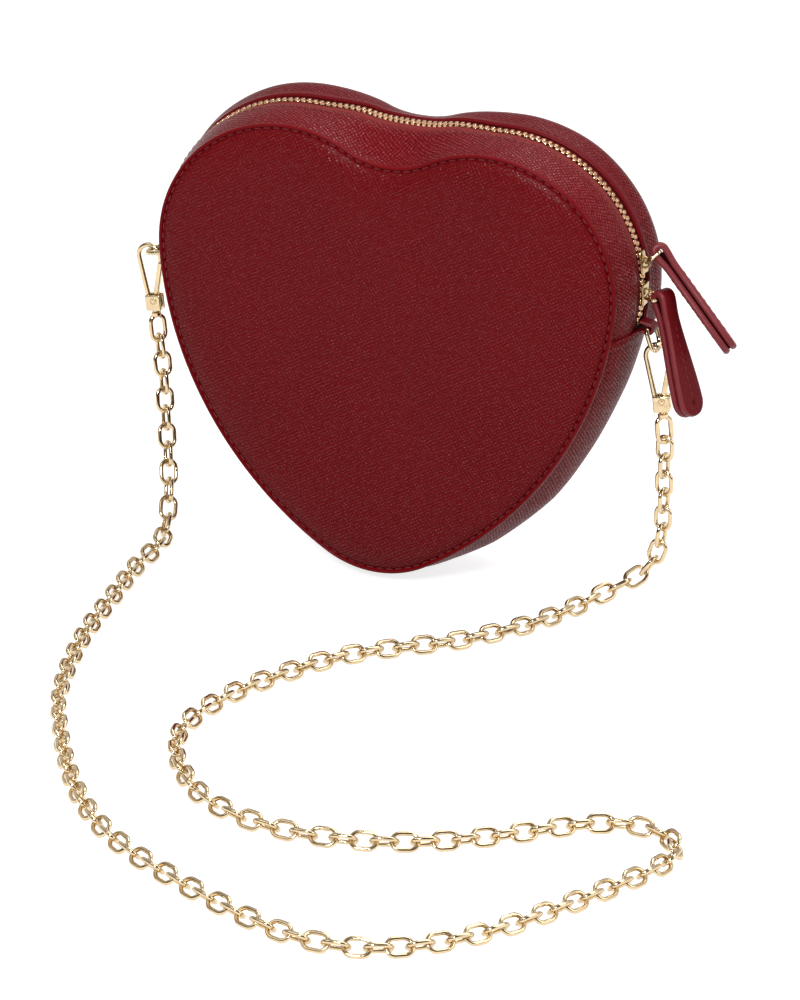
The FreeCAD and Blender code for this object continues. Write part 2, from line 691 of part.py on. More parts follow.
def pull_tab_shape(label):
    """A leather strip folded round the ring's bar, hanging along -Z, glued short of its edges."""
    bore = size("pull_ring_wire") / 2 + size("tab_ring_clearance")
    layer, gap = size("tab_layer"), size("tab_gap") / 2
    neck, wide = size("tab_neck_width") / 2, size("tab_width") / 2
    fold, foot = -size("tab_fold_length"), -size("tab_length")
    outside = [V(-bore - layer, 0, 0), V(-gap - layer, 0, fold), V(-gap - layer, 0, foot)]
    inside = [V(-gap, 0, foot), V(-gap, 0, fold), V(-bore, 0, 0)]
    left = outside + inside
    right = [V(-point.x, 0, point.z) for point in left]
    edges = [line(a, b) for a, b in zip(left, left[1:])] + [line(a, b) for a, b in zip(right, right[1:])]
    edges.append(arc(left[0], V(0, 0, bore + layer), right[0]))
    edges.append(arc(left[-1], V(0, 0, bore), right[-1]))
    strip = Part.Face(Part.Wire(Part.__sortEdges__(edges))).extrude(Y_AXIS * 2 * wide)
    strip.translate(Y_AXIS * -wide)
    top, bend = bore + layer, foot + wide
    corners = [V(0, -wide, bend), V(0, -neck, fold), V(0, -neck, top), V(0, neck, top), V(0, neck, fold),
               V(0, wide, bend)]
    edges = [line(a, b) for a, b in zip(corners, corners[1:])]
    edges.append(arc(corners[-1], V(0, 0, foot), corners[0]))
    plan = Part.Face(Part.Wire(edges)).extrude(X_AXIS * 2 * top)
    plan.translate(X_AXIS * -top)
    inset, grip = size("tab_core_recess"), gap + size("tab_core_grip")
    half_bend, half_fold = wide - inset, neck - inset
    corners = [V(0, -half_bend, bend), V(0, -half_fold, fold), V(0, half_fold, fold), V(0, half_bend, bend)]
    edges = [line(a, b) for a, b in zip(corners, corners[1:])]
    edges.append(arc(corners[-1], V(0, 0, foot + inset), corners[0]))
    core = Part.Face(Part.Wire(edges)).extrude(X_AXIS * 2 * grip)
    core.translate(X_AXIS * -grip)
    item = doc.addObject("Part::Feature", label + "_strip")
    item.Shape = strip.common(plan).fuse(core).removeSplitter()
    return item


def pull_ring_route(name):
    """The ring's path in its XY plane: a bend through the bail, a roof, two sides and a straight bar."""
    half, reach = size("pull_ring_width") / 2, size("pull_ring_reach")
    roof = math.radians(size("pull_ring_roof"))
    apex = size("pull_ring_bend") * (1 - 1 / math.sin(roof))
    shoulder = apex + half / math.tan(roof)
    corners = [V(apex, 0, 0), V(shoulder, half, 0), V(reach, half, 0), V(reach, -half, 0),
               V(shoulder, -half, 0)]
    return rounded_loop(name, corners, [size("pull_ring_bend")] + 4 * [size("pull_ring_corner")])


def pull(prefix, slider_frame, slider_alias, ring_alias, slew_alias, tab_alias):
    """The wire ring through a slider's bail and the tab folded round the ring's bar."""
    lift = TURN(Y_AXIS, slider_heading(slider_alias) - size(ring_alias))
    hinge = slider_frame.multiply(place(V(bail_axis, 0, 0), lift))
    bend, reach = V(size("pull_ring_bend"), 0, 0), V(size("pull_ring_reach"), 0, 0)
    ring_frame = hinge.multiply(place(bend, TURN(Z_AXIS, size(slew_alias)))).multiply(place(-bend))
    wire_loop(prefix + "_pull_ring", pull_ring_route(prefix + "_ring_route"), "pull_ring_wire", ring_frame)
    seat = ring_frame.multiply(place(reach))
    drop = seat.Rotation.inverted().multVec(polar(V(0, 0, 0), 1.0, -size(tab_alias)))
    swing = math.degrees(math.atan2(-drop.x, -drop.z))
    node(pull_tab_shape(prefix), prefix + "_pull_tab", seat.multiply(place(turn=TURN(Y_AXIS, swing))))
    print(prefix, "ring hinge", hinge.Base, hinge.Rotation.multVec(Y_AXIS))
    print(prefix, "tab hinge", seat.Base, seat.Rotation.multVec(Y_AXIS))


upper_frame = slider("upper_slider", "upper_slider_angle", False)
lower_frame = slider("lower_slider", "lower_slider_angle", True)
pull("upper", upper_frame, "upper_slider_angle", "upper_ring_angle", "upper_ring_slew", "upper_tab_angle")
pull("lower", lower_frame, "lower_slider_angle", "lower_ring_angle", "lower_ring_slew", "lower_tab_angle")


# Strap rings in their leather tabs, at the zipper's ends

def strap_ring(label, frame):
    """A D-ring hanging from a straight bar along Y."""
    half, bend, drop = size("ring_width") / 2, size("ring_corner"), size("ring_drop")
    corners = [V(0, -half, 0), V(0, half, 0), V(0, half, -drop), V(0, -half, -drop)]
    route = rounded_loop(label + "_route", corners, [bend, bend, half, half])
    wire_loop(label, route, "ring_wire", frame)


def ring_tab(label, frame):
    """A leather loop round the ring's bar whose two legs are sewn into the seam."""
    bore = size("ring_wire") / 2 + size("ring_tab_clearance")
    outer, width, leg = bore + size("ring_tab_leather"), size("ring_tab_width"), size("ring_standoff")
    solid = Part.makeCylinder(outer, width, V(0, -width / 2, 0), Y_AXIS)
    solid = solid.fuse(Part.makeBox(leg, width, 2 * outer, V(-leg, -width / 2, -outer)))
    hollow = Part.makeCylinder(bore, width, V(0, -width / 2, 0), Y_AXIS)
    hollow = hollow.fuse(Part.makeBox(leg, width, 2 * bore, V(-leg, -width / 2, -bore)))
    item = doc.addObject("Part::Feature", label + "_loop")
    item.Shape = solid.cut(hollow).removeSplitter()
    node(item, label, frame)


# Snap hooks: the bow's centre is the local origin, the hook hangs along -Z in its XZ plane

PIVOT_Z = "(Dims.pivot_rise - Dims.hook_length)"
SLOT_LOW = f"({PIVOT_Z} - Dims.gate_hub_radius - Dims.spring_thickness)"
SLOT_HALF = "(Dims.gate_thickness / 2 + Dims.gate_side_gap)"
SLOT_LEFT = "(Dims.pivot_offset - Dims.gate_hub_radius - Dims.spring_thickness - Dims.spring_gap)"
HEAD_LOW = "(Dims.block_floor - Dims.hook_length)"
pivot = V(size("pivot_offset"), 0, size("pivot_rise") - size("hook_length"))


def hook_body(label, frame):
    """The cast bow, its rod and the block that holds the gate and the swivel."""
    bow = size("bow_radius")
    block_top = size("block_height") / 2 - size("hook_length")
    root = V((size("hook_wire") - size("block_width")) / 2, 0, block_top)
    lean = heading(root) - math.degrees(math.acos(bow / root.Length))
    meet = polar(V(0, 0, 0), bow, lean)
    nose = V(bow, 0, -size("nose_drop"))
    pieces = [line(root, meet), arc(meet, V(0, 0, bow), V(bow, 0, 0)), line(V(bow, 0, 0), nose)]
    rod = wire_loop(label, route_of(label + "_route", pieces), "hook_wire")
    block = box(label + "_block", "Dims.block_width", "Dims.block_depth", "Dims.block_height",
                ("-Dims.block_width / 2", "-Dims.block_depth / 2", "-Dims.hook_length"))
    slot = box(label + "_slot", "Dims.block_width", f"2 * {SLOT_HALF}", "Dims.block_height",
               (SLOT_LEFT, f"-{SLOT_HALF}", SLOT_LOW))
    pin_hole = cylinder(label + "_pin_hole", "Dims.pin_radius", "2 * Dims.block_depth", ALONG_Y,
                        ("Dims.pivot_offset", "-Dims.block_depth", PIVOT_Z))
    bore = cylinder(label + "_bore", "Dims.stem_radius + Dims.stem_clearance", "2 * Dims.block_floor",
                    TURN(),
                    ("0", "0", "-Dims.hook_length - Dims.block_floor / 2"))
    pocket = cylinder(label + "_pocket", "Dims.stem_head_radius + Dims.gate_side_gap",
                      f"{SLOT_LOW} - {HEAD_LOW} + Dims.gate_side_gap", TURN(), ("0", "0", HEAD_LOW))
    whole = fuse(label + "_cast", [block, rod])
    node(cut(label + "_machined", whole, [slot, pin_hole, bore, pocket]), label, frame)


def hook_gate(label, frame):
    """The lever that closes the bow, turning on the rivet pin."""
    tip = V(size("bow_radius"), 0, -size("nose_drop") - size("gate_end_gap"))
    reach = (tip - pivot).Length
    width, thick, radius = size("gate_width"), size("gate_thickness"), size("gate_hub_radius")
    bar = Part.makeBox(width, thick, reach, V(-width / 2, -thick / 2, 0))
    bar.Placement = place(pivot, TURN(Z_AXIS, tip - pivot))
    hub = Part.makeCylinder(radius, thick, pivot - Y_AXIS * (thick / 2), Y_AXIS)
    bore_radius = size("pin_radius") + size("pin_clearance")
    bore = Part.makeCylinder(bore_radius, 2 * thick, pivot - Y_AXIS * thick, Y_AXIS)
    item = doc.addObject("Part::Feature", label + "_lever")
    item.Shape = bar.fuse(hub).cut(bore).removeSplitter()
    node(item, label, frame)


def hook_fittings(prefix, frame, eye_frame):
    """The rivet pin, the gate's leaf spring and the swivel eye."""
    pin = cylinder(prefix + "_pin", "Dims.pin_radius", "Dims.block_depth", ALONG_Y,
                   ("Dims.pivot_offset", "-Dims.block_depth / 2", PIVOT_Z))
    node(fuse(prefix + "_pin_set", [pin, rivet_head(prefix)]), prefix + "_gate_pin", frame)
    leaf = box(prefix + "_leaf", "Dims.spring_thickness", "Dims.gate_thickness", "Dims.spring_length",
               (SLOT_LEFT, "-Dims.gate_thickness / 2", SLOT_LOW))
    foot = box(prefix + "_leaf_foot", "2 * Dims.gate_hub_radius", "Dims.gate_thickness",
               "Dims.spring_thickness / 2", (SLOT_LEFT, "-Dims.gate_thickness / 2", SLOT_LOW))
    node(fuse(prefix + "_leaf_set", [leaf, foot]), prefix + "_gate_spring", frame)
    half, top = size("eye_width") / 2, -size("hook_length") - size("eye_drop")
    foot = top - size("eye_length")
    corners = [V(-half, 0, foot), V(half, 0, foot), V(half, 0, top), V(-half, 0, top)]
    loop = wire_loop(prefix + "_eye", rounded_loop(prefix + "_eye_route", corners, 4 * [half]), "eye_wire")
    stem = cylinder(prefix + "_stem", "Dims.stem_radius",
                    "Dims.eye_drop + Dims.block_floor + Dims.stem_head_height", TURN(),
                    ("0", "0", "-Dims.hook_length - Dims.eye_drop"))
    head = cylinder(prefix + "_head", "Dims.stem_head_radius", "Dims.stem_head_height", TURN(),
                    ("0", "0", f"{HEAD_LOW} + Dims.stem_clearance"))
    node(fuse(prefix + "_eye_set", [loop, stem, head]), prefix + "_swivel_eye", eye_frame)


def rivet_head(prefix):
    """The pin's flat head, standing on the block's front."""
    return cylinder(prefix + "_rivet", "Dims.rivet_radius", "Dims.rivet_height", ALONG_Y,
                    ("Dims.pivot_offset", "-Dims.block_depth / 2 - Dims.rivet_height", PIVOT_Z))


def strap_end(prefix, mirror, swing, lean, twist):
    """A ring tab, ring and snap hook on one side; gives the point where the strap begins."""
    side = TURN(Z_AXIS, 180 if mirror else 0)
    centre = V(-outline.side.x, 0, outline.side.z) if mirror else outline.side
    surface = size("side_radius") + size("gusset_crown")
    angle = math.degrees(math.asin((outline.seam_height - centre.z) / surface))
    frame = place(centre, side.multiply(TURN(Y_AXIS, -angle)))
    bar = frame.multiply(place(V(surface + size("ring_standoff"), 0, 0)))
    ring_tab(prefix + "_ring_tab", bar)
    ring_frame = place(bar.Base, side.multiply(TURN(Y_AXIS, -swing)))
    strap_ring(prefix + "_d_ring", ring_frame)
    foot = ring_frame.multVec(V(0, 0, -size("ring_drop")))
    seat = size("bow_radius") - size("hook_wire") / 2 - size("ring_wire") / 2 - size("hook_seat_gap")
    tilt = TURN(Y_AXIS, -lean)
    hang = place(foot, tilt).multiply(place(V(0, 0, -seat)))
    hook_frame = hang.multiply(place(turn=TURN(Z_AXIS, twist)))
    eye_frame = hang.multiply(place(turn=TURN(Z_AXIS, size("link_roll"))))
    hook_body(prefix + "_hook_body", hook_frame)
    hook_gate(prefix + "_gate", hook_frame)
    hook_fittings(prefix, hook_frame, eye_frame)
    print(prefix, "ring hinge", bar.Base, "hook axis", hook_frame.Base, hook_frame.Rotation.multVec(Z_AXIS),
          "gate hinge", hook_frame.multVec(pivot), hook_frame.Rotation.multVec(Y_AXIS))
    return hang.multVec(V(0, 0, -size("hook_length") - size("eye_drop") - size("eye_length")))


left_eye = strap_end("left", True, size("left_ring_swing"), size("left_hook_lean"), size("left_hook_twist"))
right_eye = strap_end("right", False, size("right_ring_swing"), size("right_hook_lean"),
                      size("right_hook_twist"))


# Chain strap: separate links along the route

def quadratic_point(controls, parameter):
    """A point of the clamped uniform quadratic B-spline on these control points."""
    spans = len(controls) - 2
    index = min(int(parameter), spans - 1)
    knots = [min(max(value, 0), spans) for value in range(-2, spans + 3)]
    points = [V(*controls[index + step]) for step in range(3)]
    for level in (1, 2):
        for step in range(2, level - 1, -1):
            low = knots[index + step]
            high = knots[index + step + 3 - level]
            share = (parameter - low) / (high - low)
            points[step] = points[step - 1] * (1 - share) + points[step] * share
    return points[2]


def link_solid():
    """One oval link lying in its XY plane, long along X."""
    half = (size("link_width") - size("link_wire")) / 2
    reach = (size("link_length") - size("link_wire")) / 2
    corners = [V(-reach, -half, 0), V(reach, -half, 0), V(reach, half, 0), V(-reach, half, 0)]
    route = rounded_loop("link_route", corners, 4 * [half]).Shape
    first = route.Edges[0]
    section = Part.Circle(first.valueAt(first.FirstParameter), first.tangentAt(first.FirstParameter),
                          size("link_wire") / 2)
    return route.makePipeShell([Part.Wire(section.toShape())], True, False)


def spline_points(controls, stop_short):
    """Closely spaced points of the route's spline, as far as a distance from its end."""
    spans = len(controls) - 2
    steps = ROUTE_STEPS * spans
    points = [quadratic_point(controls, spans * step / steps) for step in range(steps + 1)]
    return [point for point in points if (point - points[-1]).Length >= stop_short]


def link_centres(points, pitch, first):
    """Points a steady pitch apart along the spline, the first one at a distance from its start."""
    centres, last, wanted = [], points[0], first
    for point, ahead in zip(points, points[1:]):
        while (ahead - last).Length >= wanted:
            low, high = 0.0, 1.0
            for _ in range(HALVINGS):
                share = (low + high) / 2
                if (point + (ahead - point) * share - last).Length < wanted:
                    low = share
                else:
                    high = share
            last = point + (ahead - point) * high
            centres.append(last)
            wanted = pitch
    return centres


def fitted_pitch(points, wanted, first):
    """The pitch nearest under the wanted one that ends on the spline's last point."""
    count = len(link_centres(points, wanted, first)) + 1
    low, high = LEAST_PITCH * wanted, wanted
    for _ in range(HALVINGS):
        pitch = (low + high) / 2
        if len(link_centres(points, pitch, first)) < count:
            high = pitch
        else:
            low = pitch
    return low


def chain_frames(centres, ends):
    """A frame for each link: X along the chain, rolled, with a quarter turn more for every second one."""
    frames = []
    joined = [ends[0]] + centres + [ends[1]]
    side = X_AXIS * -1
    for index, centre in enumerate(centres):
        along = (joined[index + 2] - joined[index]).normalize()
        lying = abs(along.z) < LYING_SLOPE
        carried = along.cross(Z_AXIS) if lying else side - along * side.dot(along)
        side = carried.normalize()
        turn = TURN(along, side, along.cross(side), "XYZ")
        roll = size("link_roll") + 90 * (index % 2)
        frames.append(place(centre, turn.multiply(TURN(X_AXIS, roll))))
    return frames


inner_length = size("link_length") - 2 * size("link_wire")
first_reach = size("link_length") / 2 - size("link_wire") - size("eye_wire") / 2 - size("link_play")
controls = [tuple(left_eye)] + STRAP_ROUTE + [tuple(right_eye)]
spline = spline_points(controls, first_reach)
pitch = fitted_pitch(spline, inner_length - size("link_play"), first_reach)
centres = link_centres(spline, pitch, first_reach)
frames = chain_frames(centres, (left_eye, right_eye))
template = link_solid()
links = []
for frame in frames:
    copy = template.copy()
    copy.Placement = frame
    links.append(copy)
left_count = sum(1 for centre in centres if centre.z > DROP_HEIGHT and centre.x < 0)
right_count = sum(1 for centre in centres if centre.z > DROP_HEIGHT and centre.x > 0)
groups = {"chain_left_drop": links[:left_count],
          "chain_floor": links[left_count:len(links) - right_count],
          "chain_right_drop": links[len(links) - right_count:]}
for label, group in groups.items():
    item = doc.addObject("Part::Feature", label + "_links")
    item.Shape = Part.Compound(group)
    node(item, label)

doc.recompute()
gaps = [one.distToShape(two)[0] for one, two in zip(links, links[1:])]
length = sum((b - a).Length for a, b in zip(spline, spline[1:]))
print(f"chain: {len(links)} links, route {length:.0f} mm, pitch {pitch:.3f}, least gap {min(gaps):.3f}, "
      f"from eye {(left_eye - centres[0]).Length:.2f} to eye {(right_eye - centres[-1]).Length:.2f}")

for item in doc.Objects:
    if "Invalid" in item.State or "Error" in item.State:
        raise RuntimeError(f"{item.Label} failed: {item.State}")
for item in nodes:
    if item.Shape.isNull() or not item.Shape.isValid():
        raise RuntimeError(f"{item.Label} has no valid shape")

os.makedirs("parts", exist_ok=True)
for item in nodes:
    item.Shape.exportStep(f"parts/{item.Label}.step")
print(len(nodes), "pieces written")
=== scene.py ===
import json
import math

import bmesh
import bpy
import numpy as np
from mathutils import Matrix, Vector, noise
from mathutils.geometry import delaunay_2d_cdt


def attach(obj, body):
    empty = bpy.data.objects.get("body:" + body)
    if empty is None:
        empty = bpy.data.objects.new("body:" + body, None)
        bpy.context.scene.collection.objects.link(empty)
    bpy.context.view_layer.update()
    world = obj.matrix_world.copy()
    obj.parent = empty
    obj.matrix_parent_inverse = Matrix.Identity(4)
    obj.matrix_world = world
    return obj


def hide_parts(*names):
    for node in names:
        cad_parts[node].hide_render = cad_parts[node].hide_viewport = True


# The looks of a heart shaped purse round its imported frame. Lengths are millimetres until a mesh is made.
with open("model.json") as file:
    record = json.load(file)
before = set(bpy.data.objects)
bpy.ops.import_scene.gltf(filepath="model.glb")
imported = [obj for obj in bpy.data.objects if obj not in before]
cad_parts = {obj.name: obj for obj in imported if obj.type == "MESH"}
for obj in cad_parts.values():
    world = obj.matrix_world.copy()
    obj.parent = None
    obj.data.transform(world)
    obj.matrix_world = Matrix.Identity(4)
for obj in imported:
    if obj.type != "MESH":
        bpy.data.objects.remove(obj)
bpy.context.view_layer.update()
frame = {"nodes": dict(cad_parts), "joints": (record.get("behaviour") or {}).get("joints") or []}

MM = 0.001

# Sizes of the solids, as in the part's source
HEART_WIDTH = 190.0
LOBE_RADIUS = 53.5
LOBE_HEIGHT = 130.0
NOTCH_RADIUS = 34.5
TIP_RADIUS = 41.5
SIDE_RADIUS = 151.0
BAG_DEPTH = 52.0
PANEL_THICKNESS = 2.2
GUSSET_CROWN = 4.0
GUSSET_WALL = 1.5
SEAM_INSET = 1.2
NOTCH_RISE = 8.6
NOTCH_RISE_REACH = 40.0
BOARD_INSET = 3.6
BOARD_THICKNESS = 0.9
LINING_THICKNESS = 0.5
ZIP_END_DROP = 8.5706
ZIP_MIDDLE = -3.0
ZIP_GAP = 8.0
TAPE_REACH = 9.0
TAPE_THICKNESS = 0.5
TEETH_WIDTH = 4.6
TOOTH_HEIGHT = 2.4
TOOTH_PITCH = 2.5
TEETH_END_GAP = 4.0
LAYER_GAP = 0.1
SLIDER_LENGTH = 9.0
SLIDER_PLATE = 0.9
SLIDER_CLEARANCE = 0.3
PULL_RING_WIRE = 1.2
TAB_LENGTH = 47.0
TAB_NECK = 7.8
TAB_WIDTH = 12.5
TAB_LAYER = 2.6
TAB_GAP = 0.6
TAB_CORE_RECESS = 1.3
TAB_FOLD = 8.0
TAB_CLEARANCE = 0.35
UPPER_TAB_ANGLE = 49.0
LOWER_TAB_ANGLE = 67.0
RING_WIRE = 1.8
RING_STANDOFF = 3.4
RING_TAB_WIDTH = 6.0
RING_TAB_LEATHER = 1.2
RING_TAB_CLEARANCE = 0.3
BOW_RADIUS = 4.6
HOOK_WIRE = 2.0
HOOK_LENGTH = 22.5
BLOCK_WIDTH = 6.4
BLOCK_DEPTH = 5.0
BLOCK_HEIGHT = 6.5
NOSE_DROP = 2.0
GATE_WIDTH = 2.0
GATE_THICKNESS = 2.2
GATE_HUB = 1.6
GATE_SIDE_GAP = 0.2
GATE_END_GAP = 0.6
PIN_RADIUS = 0.9
PIVOT_OFFSET = 0.4
PIVOT_RISE = 4.2
STEM_RADIUS = 1.28
EYE_WIDTH = 5.8
EYE_LENGTH = 10.4
EYE_WIRE = 1.9
EYE_DROP = 2.4
LINK_LENGTH = 11.25
LINK_WIDTH = 8.0
LINK_WIRE = 1.75
LINK_PLAY = 0.45
LINK_ROLL = 45.0
LYING_SLOPE = 0.2

# The strap's route, as in the part's source: down from the left eye, over the floor and up to the right eye
LEFT_DROP = [
    (-102.7, -1.0, 66.0), (-101.0, -3.0, 54.0), (-99.0, -5.5, 43.0), (-96.5, -9.0, 31.5),
    (-94.0, -13.5, 21.5), (-92.0, -18.0, 13.0), (-90.5, -23.5, 6.8), (-88.5, -32.0, 4.0),
    (-88.0, -42.0, 3.3),
]
LYING_HEIGHT = 3.2
FLOOR_ROUTE = [
    (-88.5, -53.0), (-87.0, -67.0), (-84.5, -85.0), (-82.0, -105.0), (-79.0, -127.0), (-74.0, -149.0),
    (-68.5, -169.0), (-62.0, -188.0), (-53.5, -205.0), (-44.5, -222.0), (-34.5, -239.0), (-22.5, -257.0),
    (-7.5, -275.0), (10.5, -290.5), (31.5, -303.0), (54.5, -315.0), (76.5, -325.0), (98.5, -331.0),
    (121.5, -327.0), (142.5, -310.0), (158.0, -288.0), (171.5, -262.0), (183.0, -238.0), (190.5, -219.0),
    (188.0, -204.5), (176.0, -197.0), (162.5, -197.5), (148.5, -206.5), (131.5, -223.0), (109.5, -240.5),
    (85.5, -251.0), (60.5, -255.0), (37.5, -251.0), (18.0, -240.5), (4.0, -224.0), (-7.0, -206.0),
    (-11.0, -187.0), (-9.0, -166.0), (-3.5, -146.5), (5.5, -127.0), (16.5, -106.0), (34.5, -88.0),
    (52.5, -73.5), (63.0, -59.5), (72.5, -46.0), (80.0, -30.0),
]
RIGHT_DROP = [
    (85.5, -17.0, 3.8), (89.5, -9.5, 5.0), (93.3, -5.0, 6.7), (97.2, -2.2, 8.8),
    (101.2, -0.6, 11.6), (104.8, 0.0, 15.4), (107.6, 0.0, 20.0), (109.4, 0.0, 26.0),
    (110.2, 0.0, 34.0), (110.2, 0.0, 47.0), (109.4, 0.0, 60.0),
]
STRAP_ROUTE = LEFT_DROP + [(x, y, LYING_HEIGHT) for x, y in FLOOR_ROUTE] + RIGHT_DROP

# Where the sliders rest, in degrees round the right lobe
UPPER_SLIDER_ANGLE = 12.5
LOWER_SLIDER_ANGLE = 0.0

# Sizes and shares of the sewn, rolled and rounded details that only the looks have
GRAIN_PITCH = 1.25
PORE_HEIGHT = 0.2
# Plain, smooth leather on the rims and rolled edges takes a tone below the ridge tops: painted shade on the
# panels' rims
PLAIN_SHADE_TONE = 0.3
PLY_PITCH = 0.5
OUTLINE_STEP = 1.5
STITCH_INSET = 1.9
STITCH_PITCH = 4.0
STITCH_LENGTH = 3.1
THREAD_RADIUS = 0.3
THREAD_LIFT = 0.02
STITCH_RINGS = 9
STITCH_SIDES = 7
STRIP_STITCH_INSET = 2.9
STRIP_STITCH_PITCH = 3.2
STRIP_STITCH_LENGTH = 2.4
STRIP_THREAD_RADIUS = 0.18
TAB_STITCH_START = 2.5
TAB_STITCH_END = 7.0
TAB_STITCH_PITCH = 3.0
TAB_STITCH_LENGTH = 2.2
TAB_THREAD_RADIUS = 0.2
TAB_HOLE_RISE = 5.4
SHOULDER_RISE = 0.55
SHOULDER_REACH = 0.35
PUFF_NEAR = 2.2
PUFF_REACH = 3.4
PUFF_WIDE = 1.5
PUFF_WIDE_REACH = 32.0
RIM_FADE = 0.6
PANEL_RIPPLE = 0.22
PANEL_RIPPLE_REACH = 28.0
PANEL_RIPPLE_FADE = 9.0
PANEL_RIPPLE_SHIFT = 90
BACK_DRAWN_IN = 2.0
BULGE_PLACES = (0, 35, 60, 82, 112, 133, 155)
BULGE_HEIGHTS = (0, 0, 1.2, 2.7, 2.6, 1.2, 0)
LIP_LENGTH = 4.5
LIP_RISE = 0.9
LIP_SLOPE = 1.5
PANEL_GAP = 0.05
ROLL_WIDTH = 2.6
ROLL_RISE = 0.45
ROLL_FADE = 0.8
STRIP_NOSE = 0.8
NOSE_ROLL = 0.8
STRIP_THINNED = 0.75
THINNING_WIDTH = 3.0
FRONT_SHOWN = 0.8
REAR_SWELL = 3.0
STRIP_RIPPLE_REACH = 20.0
TAPE_LIFT = 0.5
TAPE_SLOPE = 0.6
TAPE_BITE = 0.6
CLOTH_GAP = 0.05
STRIP_LINING_INSET = 1.6
LINING_INSET = 0.2
LINING_GAP = 0.08
LINING_NEAR = 0.1
LINING_FAR = 0.3
LINING_RIPPLE = 0.1
LINING_RIPPLE_REACH = 16.0
TOOTH_BEVEL = 0.35
SLIDER_BEVEL = 0.3
BAIL_RADIUS = 0.5
BAIL_FLAT = 1.35

joints = {row["name"]: row for row in frame["joints"]}


# Materials

def shader(name):
    """A new material with its node tree and its surface node."""
    material = bpy.data.materials.new(name)
    material.use_nodes = True
    tree = material.node_tree
    return material, tree, tree.nodes["Principled BSDF"]


def feed(tree, item, inputs):
    """Give a node's inputs numbers or other nodes' outputs."""
    for key, value in inputs.items():
        if isinstance(value, bpy.types.NodeSocket):
            tree.links.new(value, item.inputs[key])
        else:
            item.inputs[key].default_value = value


def add(tree, kind, inputs=None, **settings):
    """A shader node with settings and inputs."""
    item = tree.nodes.new("ShaderNode" + kind)
    for key, value in settings.items():
        setattr(item, key, value)
    feed(tree, item, inputs or {})
    return item


def reckon(tree, operation, first, second=0.0):
    """The outcome of a sum on one or two values."""
    return add(tree, "Math", {0: first, 1: second}, operation=operation).outputs[0]


def spread(tree, value, old=(0.0, 1.0), new=(0.0, 1.0)):
    """A value carried from one range to another and kept inside it."""
    limits = {"From Min": old[0], "From Max": old[1], "To Min": new[0], "To Max": new[1]}
    return add(tree, "MapRange", {"Value": value, **limits}).outputs[0]


def speckle(tree, place, scale, detail):
    """Noise from 0 to 1 at a place."""
    return add(tree, "TexNoise", {"Vector": place, "Scale": scale, "Detail": detail}).outputs["Fac"]


def wave(tree, place, pitch):
    """A sine along a coordinate, its pitch in millimetres."""
    return reckon(tree, "SINE", reckon(tree, "MULTIPLY", place, 2 * math.pi / (pitch * MM)))


def embossed(tree, height, strength, depth):
    """Normals over a relief, its depth in millimetres."""
    return add(tree, "Bump", {"Height": height, "Strength": strength, "Distance": depth * MM}).outputs[0]


def tint(levels):
    """A colour given as eight-bit sRGB, in the linear form that a shader takes."""
    shares = [level / 255 for level in levels]
    linear = [share / 12.92 if share <= 0.04045 else ((share + 0.055) / 1.055) ** 2.4 for share in shares]
    return (*linear, 1.0)


def mixed(tree, share, low, high):
    """A colour between two eight-bit ones, by a share."""
    return add(tree, "Mix", {0: share, 6: tint(low), 7: tint(high)}, data_type="RGBA").outputs[2]


def toned(tree, share, colour, dark):
    """A colour between a darker tone of it and itself, by a share."""
    return mixed(tree, share, [dark * level for level in colour], colour)


def varied(tree, colour, share, values):
    """A colour made darker and lighter between two values, by a share."""
    shade = spread(tree, share, new=values)
    return add(tree, "HueSaturation", {"Color": colour, "Value": shade}).outputs[0]


def grain_place(tree):
    """The place in the grain that a piece's mesh carries."""
    return add(tree, "UVMap", uv_map="grain").outputs["UV"]


def object_place(tree):
    """The place in the piece's own frame."""
    return add(tree, "TexCoord").outputs["Object"]


def crosshatch(tree, grain):
    """Two crossing sets of flat-topped ridges that wander, take turns and break up, as a height."""
    wander = add(tree, "TexNoise", {"Vector": grain, "Scale": 420.0, "Detail": 2.0}).outputs["Color"]
    centred = add(tree, "VectorMath", {0: wander, 1: (0.5, 0.5, 0.5)}, operation="SUBTRACT").outputs[0]
    stray = 1.3 * GRAIN_PITCH * MM
    shift = add(tree, "VectorMath", {0: centred, "Scale": stray}, operation="SCALE").outputs[0]
    strayed = add(tree, "VectorMath", {0: grain, 1: shift}, operation="ADD").outputs[0]
    ridges = []
    for lean in (60, -35):
        turn = {"Vector": strayed, "Angle": math.radians(lean)}
        turned = add(tree, "VectorRotate", turn, rotation_type="Z_AXIS").outputs[0]
        across = add(tree, "SeparateXYZ", {0: turned}).outputs[0]
        ridges.append(spread(tree, wave(tree, across, GRAIN_PITCH), old=(-0.7, 0.2)))
    sets = []
    for along, over in (ridges, ridges[::-1]):
        sets.append(reckon(tree, "MULTIPLY", along, spread(tree, over, new=(0.3, 1.0))))
    patches = speckle(tree, grain, scale=0.22 / (GRAIN_PITCH * MM), detail=1.0)
    chosen = spread(tree, patches, old=(0.42, 0.58))
    weave = add(tree, "Mix", {0: chosen, 2: sets[0], 3: sets[1]}).outputs[0]
    breaks = speckle(tree, grain, scale=0.7 / (GRAIN_PITCH * MM), detail=1.0)
    return reckon(tree, "MULTIPLY", weave, spread(tree, breaks, old=(0.35, 0.6), new=(0.45, 1.0)))


